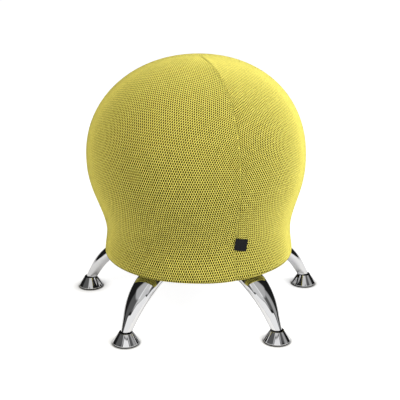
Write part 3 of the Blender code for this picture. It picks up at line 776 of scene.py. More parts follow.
@dataclass
class Cover:
    """The sewn mesh cover: three gores of knitted cells, their seams, and the side label."""

    layout: Layout
    form: CoverForm = CoverForm()
    tag: SideTag = SideTag()
    gore_count: int = 3
    seam_azimuth: float = math.radians(20.0)
    pitch: float = 0.00495
    row_pitch: float = 0.0055
    rows_above: int = 2
    rows_below: int = 4
    spare_run: float = 1.03
    spare_columns: int = 3
    least_cell: float = 0.08
    cut_cell_depth: float = 4.0
    hole_share_across: float = 0.40
    hole_share_down: float = 0.74
    hole_depth: float = 0.0019
    droop_above: float = 0.6
    droop_below: float = 0.1
    droop_blend: float = 0.45
    halvings: int = 40
    seam_gap: float = 0.0003
    seam_dip: float = 0.0003
    seam_reach: float = 0.0030
    tip_run: float = 0.003
    tip_r: float = 0.002
    band_half: float = 0.0007
    band_depth: float = 0.0015
    band_thickness: float = 0.0012
    band_end: float = 0.0005
    band_taper: float = 0.004
    band_tip: float = 0.15
    band_rows: int = 460
    band_sides: int = 10
    stitch: float = 0.0032
    stitch_pull: float = 0.14
    # Painted shade on the seam band: its level between stitches, and how much darker each stitch is painted.
    stitch_painted_shade_base: float = 0.45
    stitch_painted_shade: float = 0.5

    def __post_init__(self) -> None:
        """Measure the meridian once."""
        self.meridian = Meridian(self.form)
        self.half_gore = math.pi / self.gore_count

    def stand(self, points: np.ndarray) -> np.ndarray:
        """Return the cover's points with the ball's bow, where the stool's axis stands."""
        return self.layout.stand(self.form.bowed(points))

    def seam_turn(self, number: int) -> float:
        """Return the polar angle of the seam that a gore starts at."""
        return self.seam_azimuth - math.pi / 2.0 + 2.0 * self.half_gore * (number - 1)

    def row_of(self, run: np.ndarray, turn: np.ndarray) -> np.ndarray:
        """Return the fabric row through a place, as a run on the gore's centre line.

        A knitted row hangs between a level circle and the great circle that crosses the centre line
        at right angles, and it is nearly level under the equator.

        Args:
            run: Run down the meridian.
            turn: Angle from the gore's centre line.

        Returns:
            The row's place, in metres.
        """
        quarter = math.pi / 2.0
        latitude = (1.0 - run / self.meridian.equator) * quarter
        circle = np.arctan2(np.sin(latitude), np.cos(latitude) * np.cos(turn))
        upper = ease(0.5 + latitude / (2.0 * self.droop_blend))
        droop = self.droop_below + (self.droop_above - self.droop_below) * upper
        return run - droop * (circle - latitude) * self.meridian.equator / quarter

    def turn_at(self, across: np.ndarray, run: np.ndarray) -> np.ndarray:
        """Return the angle from the gore's centre line, held inside the seams."""
        radius = self.meridian.radius(run)
        limit = self.half_gore - self.seam_gap / radius
        return np.clip(across / radius, -limit, limit)

    def settle(self, across: np.ndarray, row: np.ndarray) -> tuple[np.ndarray, np.ndarray]:
        """Find where places of the flat gore come to lie on the ball, by halving the run's range.

        Args:
            across: Distance from the gore's centre line.
            row: The fabric row.

        Returns:
            The run down the meridian and the angle from the centre line, held inside the seams.
        """
        low = np.full(across.shape, self.tip_run)
        high = np.full(across.shape, self.meridian.length)
        for _ in range(self.halvings):
            middle = (low + high) / 2.0
            below = self.row_of(middle, self.turn_at(across, middle)) < row
            low, high = np.where(below, middle, low), np.where(below, high, middle)
        return low, self.turn_at(across, low)

    def build(self, bounce: "Bounce") -> None:
        """Make the gores, seams and label, each with a mesh of its own.

        Args:
            bounce: The seat's bounce.
        """
        seams = self.seams()
        put_on(seams, Body.SEAT.value, Slot.MESH)
        label = self.tag.build(self)
        put_on(label, Body.SEAT.value, Slot.LABEL, "side_label")
        for number in range(1, self.gore_count + 1):
            gore = self.gore(number)
            put_on(gore, Body.SEAT.value, Slot.MESH, f"cover_gore_{number}")
            bounce.squash(gore, self.form.top_z, self.form.hem_z)
        for piece in (seams, label):
            bounce.squash(piece, self.form.top_z, self.form.hem_z)

    def lattice(self) -> tuple[np.ndarray, np.ndarray]:
        """Lay out the flat gore: a honeycomb whose rows stand at half-pitch offsets.

        Each cell owns the corner above its middle and the one at its upper right, and shares the other
        four with its neighbours.

        Returns:
            The corners' places across and down, and six corner numbers for each cell.
        """
        half_height = (self.row_pitch ** 2 + (self.pitch / 2.0) ** 2) / (2.0 * self.row_pitch)
        side_height = self.row_pitch - half_height
        last = int(self.meridian.length * self.spare_run / self.row_pitch) + self.rows_below
        reach = int(self.half_gore * self.form.equator_r / self.pitch) + self.spare_columns
        rows, columns = np.arange(-self.rows_above, last), np.arange(-reach, reach + 1)
        row, column = np.meshgrid(rows, columns, indexing="ij")
        odd, count = row % 2, row.size
        across, down = (column + 0.5 * odd) * self.pitch, row * self.row_pitch
        upper = np.stack([across, down - half_height], axis=-1).reshape(-1, 2)
        beside = np.stack([across + self.pitch / 2.0, down - side_height], axis=-1).reshape(-1, 2)
        cell = np.arange(count).reshape(row.shape)[:-1, 1:-1]
        below = cell + row.shape[1] - (1 - odd[:-1, 1:-1])
        corner = np.stack([cell, cell - 1 + count, below, below + count, below + 1, cell + count], axis=-1)
        return np.concatenate([upper, beside]), corner.reshape(-1, 6)

    def holes(self, skin: np.ndarray, corner: np.ndarray) -> tuple[np.ndarray, np.ndarray, np.ndarray]:
        """Sink a hole in each cell that the seams leave large enough, less deep in a cut cell.

        A hole's six points are the cell's corners, drawn in towards its middle and sunk along its normal.

        Args:
            skin: The corners on the cover's surface.
            corner: Six corner numbers for each cell.

        Returns:
            The kept cells' corner numbers, the holes' points, and each hole's share of the full depth.
        """
        ring = skin[corner]
        spokes = np.cross(ring, np.roll(ring, -1, axis=1)).sum(axis=1) / 2.0
        area = np.linalg.norm(spokes, axis=1)
        share = area / (self.pitch * self.row_pitch)
        kept = share > self.least_cell
        ring, normal = ring[kept], spokes[kept] / area[kept][:, None]
        depth_share = ease(self.cut_cell_depth * share[kept])
        centre = ring.mean(axis=1, keepdims=True)
        sunk = (self.hole_depth * depth_share)[:, None, None] * normal[:, None, :]
        upright = ring[:, 3:4] - ring[:, :1]
        upright = upright / np.maximum(np.linalg.norm(upright, axis=2, keepdims=True), TINY)
        along = np.sum((ring - centre) * upright, axis=2, keepdims=True) * upright
        aside = ring - centre - along
        hole = centre + self.hole_share_across * aside + self.hole_share_down * along - sunk
        return corner[kept], hole, depth_share

    def gore(self, number: int) -> bpy.types.Object:
        """Make one gore: a honeycomb of six-sided cells, each sunk to a hole, over a plain inner face.

        The cells' corners lie on the cover's surface, which dips towards the seams. Corners past a seam
        are drawn back to it, so the holes run on up to it.

        Args:
            number: The gore's number.

        Returns:
            The piece.
        """
        flat, corner = self.lattice()
        run, turn = self.settle(flat[:, 0], flat[:, 1])
        to_seam = (self.half_gore - np.abs(turn)) * self.meridian.radius(run)
        dip = self.seam_dip * np.exp(-(to_seam / self.seam_reach) ** 2)
        turn = turn + (self.seam_turn(number) + self.half_gore)
        skin = self.meridian.surface(run, turn, dip)
        inner = self.meridian.surface(run, turn, self.form.thickness)
        corner, hole, depth_share = self.holes(skin, corner)
        count, first_hole = len(skin), 2 * len(skin)
        hole_number = first_hole + np.arange(hole.shape[0] * 6).reshape(-1, 6)
        ahead, hole_ahead = np.roll(corner, -1, axis=1), np.roll(hole_number, -1, axis=1)
        slopes = np.stack([corner, ahead, hole_ahead, hole_number], axis=-1).reshape(-1, 4)
        edges = np.stack([corner, ahead], axis=-1).reshape(-1, 2)
        _, where, uses = np.unique(np.sort(edges, axis=1), axis=0, return_inverse=True, return_counts=True)
        rim = edges[uses[where.reshape(-1)] == 1]
        walls = np.stack([rim[:, 1], rim[:, 0], rim[:, 0] + count, rim[:, 1] + count], axis=-1)
        points = np.concatenate([skin, inner, hole.reshape(-1, 3)])
        weave = np.zeros((len(points), 3))
        weave[:first_hole, :2] = np.tile(flat, (2, 1))
        # The inner face takes the full hole colour: the darker inner layer, with painted shade.
        weave[count:first_hole, 2] = 1.0
        weave[first_hole:, :2] = flat[corner].mean(axis=1).repeat(6, axis=0)
        # Each hole's floor takes painted shade by its share of the depth, less in a cut cell.
        weave[first_hole:, 2] = depth_share.repeat(6)
        used, groups = in_use([slopes, hole_number, corner[:, ::-1] + count, walls])
        points = self.stand(points[used])
        return make_piece(f"mesh_gore_{number}", points, groups, MESH_YARN, weave[used], None)

    def seams(self) -> bpy.types.Object:
        """Make the sewn seams: a narrow band sunk in each meridian, with painted shade that is dark on each
        stitch, drawn in and light between stitches.

        Returns:
            The piece.
        """
        run = np.linspace(self.tip_run / 2.0, self.meridian.length - self.band_end, self.band_rows)[:, None]
        sides = np.arange(self.band_sides)
        angle = sides * math.tau / self.band_sides
        level_run = run + 0.0 * angle
        bulge = np.abs(np.sin(math.pi * level_run / self.stitch))
        pull = 1.0 - self.stitch_pull * (1.0 - bulge)
        to_end = np.minimum(run - run[0], run[-1] - run)
        taper = np.minimum(1.0, to_end / self.band_taper + self.band_tip)
        offset = -self.band_half * pull * taper * np.cos(angle)
        depth = self.band_depth - self.band_thickness / 2.0 * pull * np.sin(angle)
        swing = offset / np.maximum(self.meridian.radius(run), self.tip_r)
        bands = [self.meridian.surface(level_run, self.seam_turn(number) + swing, depth)
                 for number in range(1, self.gore_count + 1)]
        ends = np.stack([sides, sides[::-1] + (self.band_rows - 1) * self.band_sides])
        shift = np.arange(self.gore_count)[:, None, None] * offset.size
        groups = [(group + shift).reshape(-1, group.shape[1])
                  for group in (grid_faces(self.band_rows, self.band_sides, False, True), ends)]
        # Painted shade on the band, carried in the weave's third number: dark on each stitch, light between.
        shade = self.stitch_painted_shade_base + self.stitch_painted_shade * bulge
        weave = np.stack([offset, level_run, shade], axis=-1).reshape(-1, 3)
        weave = np.tile(weave, (self.gore_count, 1))
        points = self.stand(np.concatenate(bands).reshape(-1, 3))
        return make_piece("cover_seams", points, groups, MESH_YARN, weave, None)


@dataclass(frozen=True)
class Bounce:
    """How far the seat squashes, from the joint of that name."""

    layout: Layout
    joint: str = "seat_bounce"

    def travel(self) -> float:
        """Return the joint's longest travel."""
        joint = next(item for item in frame["joints"] if item["name"] == self.joint)
        return max(abs(limit) for limit in joint["range_m"])

    def kept(self, top: float, low: float) -> float:
        """Return the share of the height between top and low that is left at the end of the travel."""
        return 1.0 - self.travel() / (top - low)

    def squash(self, piece: bpy.types.Object, top: float, low: float) -> None:
        """Give a piece a mesh of its own; it isn't squashed, and the share kept between top and low is worked out
        but not used.

        Args:
            piece: The piece, riding on the seat.
            top: Height that moves with the seat.
            low: Height that stays.
        """
        self.kept(top, low)
        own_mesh(piece)


def torus_outline(radius: float, height: float, tube_r: float, sides: int) -> np.ndarray:
    """Return a circle of (radius, height) points that runs down its outer side."""
    angle = -np.arange(sides) * math.tau / sides
    return np.stack([radius + tube_r * np.cos(angle), height + tube_r * np.sin(angle)], axis=1)


@dataclass
class Core:
    """What the cover hides: the ball, the dish under it, the hoop and the elastic in the hem."""

    layout: Layout
    form: CoverForm = CoverForm()
    ball_gap: float = 0.0036
    ball_wall: float = 0.003
    ball_bottom_z: float = 0.159
    ball_rows: int = 40
    under_power: float = 2.1
    slope_step: float = 0.0005
    valve_r: float = 0.0053
    dish_gap: float = 0.0005
    dish_wall: float = 0.005
    dish_rim_r: float = 0.150
    dish_boss_r: float = 0.045
    dish_hole_r: float = 0.014
    dish_boss_z: float = 0.15025
    dish_rows: int = 24
    rim_rows: int = 9
    hoop_tube_r: float = 0.008
    hoop_gap: float = 0.0034
    hoop_sides: int = 24
    elastic_r: float = 0.0022
    elastic_gap: float = 0.0003
    elastic_rise: float = 0.003
    elastic_sides: int = 14
    steps: int = 96

    def under(self, offset: float, angle: np.ndarray) -> np.ndarray:
        """Return (radius, height) points of the ball's underside, a superellipse, or of an offset of it."""
        radius = self.form.equator_r - self.ball_gap + offset
        drop = self.form.equator_z - self.ball_bottom_z + offset
        across, down = superellipse(radius, drop, angle, self.under_power)
        return np.stack([across, self.form.equator_z - down], axis=1)

    def under_between(self, offset: float, *radii: float) -> np.ndarray:
        """Return points of the ball's underside, or of an offset of it, from one radius to another."""
        full = self.form.equator_r - self.ball_gap + offset
        start, end = (math.acos((radius / full) ** (self.under_power / 2.0)) for radius in radii)
        return self.under(offset, np.linspace(start, end, self.dish_rows))

    def ball_side(self, inset: float) -> np.ndarray:
        """Return (radius, height) points of the ball's wall from its top to the valve hole.

        Args:
            inset: How far the surface lies inside the ball's outside.

        Returns:
            The points; the underside is drawn in where the cover's waist leaves less room.
        """
        angle = np.linspace(0.0, math.pi / 2.0, self.ball_rows)
        radius = self.form.equator_r - self.ball_gap - inset
        rise = self.form.top_z - self.form.equator_z - self.ball_gap - inset
        across, up = superellipse(radius, rise, angle[::-1], self.form.crown_power)
        crown = np.stack([across, self.form.equator_z + up], axis=1)
        crown[0, 0] = 0.0
        low = self.under(-inset, angle)[1:-1]
        step = self.slope_step
        slope = (self.form.side_r(low[:, 1] + step) - self.form.side_r(low[:, 1] - step)) / (2.0 * step)
        room = self.form.side_r(low[:, 1]) - self.ball_gap * np.hypot(1.0, slope) - inset
        low[:, 0] = np.minimum(low[:, 0], room)
        end = np.array([[self.valve_r, self.ball_bottom_z + inset]])
        return np.concatenate([crown, low[low[:, 0] > self.valve_r], end])

    def dish(self, kept: float) -> np.ndarray:
        """Return the dish's closed outline: underside, boss, centre hole, the ball's seat and a rounded rim.

        Args:
            kept: Share of the ball's height that is left under a sitter; the dish is that much shallower
                than the ball's underside, so that the pressed ball fits it.

        Returns:
            The outline's (radius, height) points.
        """
        below = self.under_between(self.dish_gap + self.dish_wall, self.dish_rim_r, self.dish_boss_r)
        boss = np.array([[self.dish_boss_r, self.dish_boss_z], [self.dish_hole_r, self.dish_boss_z]])
        seat = self.under_between(self.dish_gap, self.dish_hole_r, self.dish_rim_r)
        middle = (below[0] + seat[-1]) / 2.0
        half = (below[0] - seat[-1]) / 2.0
        ahead = np.array([-half[1], half[0]])
        turn = np.linspace(math.pi, 0.0, self.rim_rows)[1:-1, None]
        rim = middle + half * np.cos(turn) + ahead * np.sin(turn)
        outline = np.concatenate([below, boss, seat, rim])
        rise = np.maximum(outline[:, 1] - self.ball_bottom_z, 0.0)
        return outline - np.stack([0.0 * rise, (1.0 - kept) * rise], axis=1)

    def build(self, bounce: Bounce) -> None:
        """Make the ball, dish, hoop and elastic.

        Args:
            bounce: The seat's bounce.
        """
        outline = np.concatenate([self.ball_side(0.0), self.ball_side(self.ball_wall)[::-1]])
        points, groups = turned(outline, self.steps)
        ball = make_piece("air_ball", self.layout.stand(self.form.bowed(points)), groups, BALL_VINYL)
        put_on(ball, Body.SEAT.value, Slot.BALL, "ball")
        ball_top = float(outline[0, 1])
        bounce.squash(ball, ball_top, self.ball_bottom_z)
        dish = self.dish(bounce.kept(ball_top, self.ball_bottom_z))
        hoop_z = self.form.hem_z + self.hoop_gap + self.hoop_tube_r
        hoop_r = float(self.form.side_r(np.array([hoop_z]))[0]) - self.hoop_gap - self.hoop_tube_r
        hoop = torus_outline(hoop_r, hoop_z, self.hoop_tube_r, self.hoop_sides)
        cord_r = self.form.hem_r - self.form.hem_lip - self.elastic_gap - self.elastic_r
        cord_z = self.form.hem_z + self.elastic_rise
        cord = torus_outline(cord_r, cord_z, self.elastic_r, self.elastic_sides)
        rings = [
            ("dish", dish, DISH_PLASTIC, "ball_cup"),
            ("hoop", hoop, POWDER_COAT, "hem_hoop"),
            ("hem_cord", cord, ELASTIC_CORD, "hem_elastic"),
        ]
        for name, ring, finish, node in rings:
            points, groups = turned(ring, 2 * self.steps, True)
            piece = make_piece(name, self.layout.stand(points), groups, finish)
            put_on(piece, Body.BASE.value, finish.slot, node)


@dataclass(frozen=True)
class LegForm:
    """A chromed leg: a flat oval arm from the hub that bends down and tapers to a round end over its foot."""

    arm_z: float = 0.12945
    arm_start_r: float = 0.046
    arm_half_width: float = 0.0290
    arm_half_height: float = 0.0162
    arm_power: float = 3.2
    bend_r: float = 0.1550
    bend_angle: float = math.radians(61.0)
    aim_z: float = 0.0219
    round_by: float = math.radians(26.0)
    taper_start: float = math.radians(28.0)
    taper_power: float = 1.5
    end_z: float = 0.0286
    end_half: float = 0.0118
    end_power: float = 2.0
    wall: float = 0.002
    arm_rows: int = 12
    bend_rows: int = 96
    sides: int = 72

    def surface(self, layout: Layout, inset: float) -> np.ndarray:
        """Return a grid of points on the tube, rows from the hub to the foot, as a leg that runs along +X.

        The section is a superellipse. Each point of it runs along its own arc about the bend's centre,
        then straight on until it meets the level cut at the leg's end.

        Args:
            layout: Where the foot stands.
            inset: How far the surface lies inside the tube's outside.

        Returns:
            An array of rows, sides and coordinates.
        """
        bend_z = self.arm_z - self.bend_r
        rise, slope = math.sin(self.bend_angle), math.cos(self.bend_angle)
        below = bend_z + self.bend_r * slope - self.aim_z
        bend_start = layout.foot_circle_r - self.bend_r * rise - below * slope / rise
        straight = (bend_z + self.bend_r * slope - self.end_z) / (rise * self.bend_r)
        way = np.linspace(0.0, self.bend_angle + straight, self.bend_rows)[:, None]
        fade = (way - self.taper_start) / (way[-1] - self.taper_start)
        fade = np.clip(fade, 0.0, 1.0) ** self.taper_power
        power = self.arm_power + (self.end_power - self.arm_power) * ease(way / self.round_by)
        angle = np.arange(self.sides) * math.tau / self.sides
        half_width = self.arm_half_width + (self.end_half - self.arm_half_width) * fade - inset
        half_height = self.arm_half_height + (self.end_half - self.arm_half_height) * fade - inset
        across, up = superellipse(half_width, half_height, angle, power)
        bend = np.minimum(way, self.bend_angle)
        arc_r = self.bend_r + up
        past = np.maximum(way - self.bend_angle, 0.0) / straight
        beyond = past * (bend_z + arc_r * slope - self.end_z) / rise
        grid = np.stack([bend_start + arc_r * np.sin(bend) + beyond * slope, across,
                         bend_z + arc_r * np.cos(bend) - beyond * rise], axis=-1)
        arm = np.repeat(grid[:1], self.arm_rows, axis=0)
        arm[..., 0] = np.linspace(self.arm_start_r, bend_start, self.arm_rows + 1)[:-1, None]
        return np.concatenate([arm, grid])


@dataclass
class Legs:
    """The five chromed leg tubes."""

    layout: Layout
    form: LegForm = LegForm()

    def build(self) -> None:
        """Make the tubes; outside and bore are one closed grid."""
        outside = self.form.surface(self.layout, 0.0)
        bore = self.form.surface(self.layout, self.form.wall)[::-1]
        grid = np.concatenate([outside, bore])
        faces = grid_faces(grid.shape[0], grid.shape[1], True, True)[:, ::-1]
        for number in LEG_NUMBERS:
            points = self.layout.stand(grid.reshape(-1, 3), self.layout.leg_turn(number))
            tube = make_piece(f"leg_tube_{number}", points, [faces], CHROME)
            put_on(tube, Body.BASE.value, Slot.CHROME, f"leg_{number}")


@dataclass
class Feet:
    """The self-levelling feet: chromed cone, nylon cup, rubber pad and the stud that they turn on."""

    layout: Layout
    base_r: float = 0.0293
    rim_r: float = 0.0150
    rim_z: float = 0.026
    edge: float = 0.0012
    wall: float = 0.0016
    hollow: float = 0.004
    rim_fillets: Pair = (0.00055, 0.0008)
    edge_fillets: Pair = (0.0009, 0.0004)
    inner_fillet: float = 0.0003
    pad_t: float = 0.003
    pad_inset: float = 0.0006
    pad_fillet: float = 0.0006
    groove_r: Pair = (0.021, 0.017)
    groove_slope: float = 0.0005
    groove_depth: float = 0.0008
    groove_fillet: float = 0.0002
    seat_gap: float = 0.0003
    pivot_z: float = 0.011
    ball_r: float = 0.0055
    ball_rows: int = 18
    neck_r: float = 0.0032
    neck_fillet: float = 0.0002
    collar_r: float = 0.006
    collar_t: float = 0.0018
    collar_z: float = 0.0273
    collar_fillet: float = 0.0003
    shank: float = 0.006
    shank_fillet: float = 0.0004
    play: float = 0.0007
    lip: float = 0.0035
    cup_rows: int = 14
    steps: int = 80

    def cone(self) -> np.ndarray:
        """Return the chromed cone's closed outline, with a rolled rim and a softened foot edge."""
        low = self.pad_t + self.seat_gap
        inner = self.base_r - self.wall
        start = ((self.rim_r + inner) / 2.0 - self.hollow, (self.rim_z + low) / 2.0, 0.0)
        corners = [
            start,
            (self.rim_r - self.wall, self.rim_z, self.rim_fillets[0]),
            (self.rim_r, self.rim_z, self.rim_fillets[1]),
            (self.base_r, low + self.edge, self.edge_fillets[0]),
            (self.base_r, low, self.edge_fillets[1]),
            (inner, low, self.inner_fillet),
            (inner, low + self.edge, self.inner_fillet),
            start,
        ]
        return rounded(corners, 6)[:-1]

    def pad(self) -> np.ndarray:
        """Return the pad's outline: a disc with rounded edges and a shallow groove underneath."""
        radius = self.base_r - self.pad_inset
        outer, inner = self.groove_r
        corners = [
            (0.0, self.pad_t, 0.0), (radius, self.pad_t, self.pad_fillet), (radius, 0.0, self.pad_fillet),
            (outer, 0.0, self.groove_fillet),
            (outer - self.groove_slope, self.groove_depth, self.groove_fillet),
            (inner + self.groove_slope, self.groove_depth, self.groove_fillet),
            (inner, 0.0, self.groove_fillet), (0.0, 0.0, 0.0),
        ]
        return rounded(corners)

    def ball_arc(self, radius: float, start: float, end: float, rows: int) -> np.ndarray:
        """Return (radius, height) points of an arc about the pivot, between two elevations."""
        angle = np.linspace(start, end, rows)
        return np.stack([radius * np.cos(angle), self.pivot_z + radius * np.sin(angle)], axis=1)

    def cup(self) -> np.ndarray:
        """Return the nylon cup's outline: a ball seat that fills the cone's lower part."""
        low, top = self.pad_t + self.seat_gap, self.pivot_z + self.lip
        radius = self.ball_r + self.play
        slope = (self.rim_r - self.base_r) / (self.rim_z - low - self.edge)
        inset = self.wall + 2.0 * self.seat_gap
        outer_top = self.base_r + slope * (top - low - self.edge) - inset
        outer = self.base_r - inset
        seat = self.ball_arc(radius, -math.pi / 2.0, math.asin(self.lip / radius), self.cup_rows)
        seat[0, 0] = 0.0
        side = [(outer_top, top), (outer, low + self.edge), (outer, low), (0.0, low)]
        return np.concatenate([seat, np.array(side)])

    def stud(self) -> np.ndarray:
        """Return the stud's outline: shank, collar, neck and ball."""
        end, low = self.collar_z + self.shank, self.collar_z - self.collar_t
        corners = [
            (0.0, end, 0.0),
            (self.neck_r, end, self.shank_fillet),
            (self.neck_r, self.collar_z, self.neck_fillet),
            (self.collar_r, self.collar_z, self.collar_fillet),
            (self.collar_r, low, self.collar_fillet),
            (self.neck_r, low, 0.0),
        ]
        neck = math.acos(self.neck_r / self.ball_r)
        ball = self.ball_arc(self.ball_r, neck, -math.pi / 2.0, self.ball_rows)
        ball[-1, 0] = 0.0
        return np.concatenate([rounded(corners, 3), ball])

    def build(self) -> None:
        """Make each foot's pieces and put them on their bodies."""
        kinds = [
            ("foot_cone", self.cone(), True, CHROME, "foot_cap"),
            ("foot_rubber", self.pad(), False, PAD_RUBBER, "foot_pad"),
            ("foot_cup", self.cup(), False, NYLON, "foot_socket"),
            ("ball_stud", self.stud(), False, ZINC_PLATE, "foot_stud"),
        ]
        for kind, outline, closed, finish, node in kinds:
            points, groups = turned(outline, self.steps, closed)
            points[:, 0] += self.layout.foot_circle_r
            for number in LEG_NUMBERS:
                placed = self.layout.stand(points, self.layout.leg_turn(number))
                piece = make_piece(f"{kind}_{number}", placed, groups, finish)
                body = Body.BASE.value if node == "foot_stud" else f"foot_{number}"
                put_on(piece, body, finish.slot, f"{node}_{number}")


@dataclass(frozen=True)
class Fastener:
    """A socket-head fastener that hangs head down, with a six-sided socket in its head."""

    shank_r: float
    top_z: float
    head_r: float
    head_z: float
    head_t: float
    shank_fillet: float = 0.0006
    face_fillet: float = 0.0003
    head_fillet: float = 0.0011
    socket_share: float = 0.52
    socket_mouth: float = 1.12
    socket_lead: float = 0.0003
    socket_depth: float = 0.55
    socket_point: float = 0.62
    steps: int = 36

    def mesh(self) -> tuple[np.ndarray, list[np.ndarray]]:
        """Turn its outline from the shank's end down round the head and up into the socket.

        Returns:
            The points about its own axis, and the arrays of faces.
        """
        low = self.head_z - self.head_t
        socket_r = self.socket_share * self.head_r
        corners = [
            (0.0, self.top_z, 0.0), (self.shank_r, self.top_z, self.shank_fillet),
            (self.shank_r, self.head_z, 0.0), (self.head_r, self.head_z, self.face_fillet),
            (self.head_r, low, self.head_fillet), (socket_r * self.socket_mouth, low, 0.0),
        ]
        socket = [(socket_r, low + self.socket_lead), (socket_r, low + self.socket_depth * self.head_t),
                  (0.0, low + self.socket_point * self.head_t)]
        outline = np.concatenate([rounded(corners, 4), np.array(socket)])
        return turned(outline, self.steps, False, len(socket))


@dataclass
class Hub:
    """The plates that clamp the legs, their bolts and screws, and the parts that keep their CAD shapes."""

    layout: Layout
    plate_r: float = 0.092
    plate_hole_r: float = 0.042
    plate_low_z: float = 0.10895
    plate_t: float = 0.004
    plate_fillet: float = 0.0008
    plate_steps: int = 120
    bolt: Fastener = Fastener(shank_r=0.004, top_z=0.14995, head_r=0.0065, head_z=0.10865, head_t=0.006)
    bolt_circles: Pair = (0.060, 0.080)
    screw: Fastener = Fastener(shank_r=0.003, top_z=0.15625, head_r=0.0055, head_z=0.14565, head_t=0.0035)
    screw_count: int = 3
    finishes: tuple[Finish, ...] = (POWDER_COAT, NYLON)

    def plate(self) -> None:
        """Make the lower plate, a flat ring with rounded edges."""
        low, top = self.plate_low_z, self.plate_low_z + self.plate_t
        start = ((self.plate_r + self.plate_hole_r) / 2.0, top, 0.0)
        edges = [(self.plate_r, top), (self.plate_r, low), (self.plate_hole_r, low), (self.plate_hole_r, top)]
        corners = [start, *((*edge, self.plate_fillet) for edge in edges), start]
        points, groups = turned(rounded(corners)[:-1], self.plate_steps, True)
        plate = make_piece("clamp_plate", self.layout.stand(points), groups, POWDER_COAT)
        put_on(plate, Body.BASE.value, Slot.BLACK_STEEL, "hub_plate")

    def fasteners(self) -> None:
        """Make two bolts for each leg, and the dish's screws where their CAD nodes stand."""
        bolt, groups = self.bolt.mesh()
        for number in LEG_NUMBERS:
            for row, radius in enumerate(self.bolt_circles, start=1):
                points = self.layout.stand(bolt + np.array([radius, 0.0, 0.0]), self.layout.leg_turn(number))
                piece = make_piece(f"clamp_bolt_{number}_{row}", points, groups, ZINC_PLATE)
                put_on(piece, Body.BASE.value, Slot.ZINC, f"leg_bolt_{number}_{row}")
        screw, groups = self.screw.mesh()
        for number in range(1, self.screw_count + 1):
            low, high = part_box(f"cup_screw_{number}")
            middle = np.array([(low.x + high.x) / 2.0, (low.y + high.y) / 2.0, 0.0])
            piece = make_piece(f"dish_screw_{number}", screw + middle, groups, ZINC_PLATE)
            put_on(piece, Body.BASE.value, Slot.ZINC, f"cup_screw_{number}")

    def dress_nodes(self) -> None:
        """Give the CAD nodes that are still shown their finishes."""
        by_slot = {finish.slot.value: finish for finish in self.finishes}
        for part in frame["record"]["subparts"]:
            node = frame["nodes"][part["node"]]
            if not node.hide_render:
                node.data.materials.clear()
                node.data.materials.append(by_slot[part["material_slot"]].material())
                LOG.info("%s: CAD node in %s", part["node"], part["material_slot"])

    def build(self) -> None:
        """Make the lower plate and the fasteners, and dress the CAD nodes that are still shown."""
        self.plate()
        self.fasteners()
        self.dress_nodes()


def stage_piece(name: str, points: np.ndarray, faces: np.ndarray) -> tuple[bpy.types.Object, Bench]:
    """Add a stage surface with an empty material of its own.

    Args:
        name: Its name.
        points: The points, one row each.
        faces: Four point numbers for each face.

    Returns:
        The object, marked as stage, and the bench of its material.
    """
    mesh = bpy.data.meshes.new(name)
    mesh.from_pydata(points.tolist(), [], faces.tolist())
    material = bpy.data.materials.new(name)
    material.use_nodes = True
    mesh.materials.append(material)
    item = bpy.data.objects.new(name, mesh)
    bpy.context.scene.collection.objects.link(item)
    return item, Bench(material.node_tree)


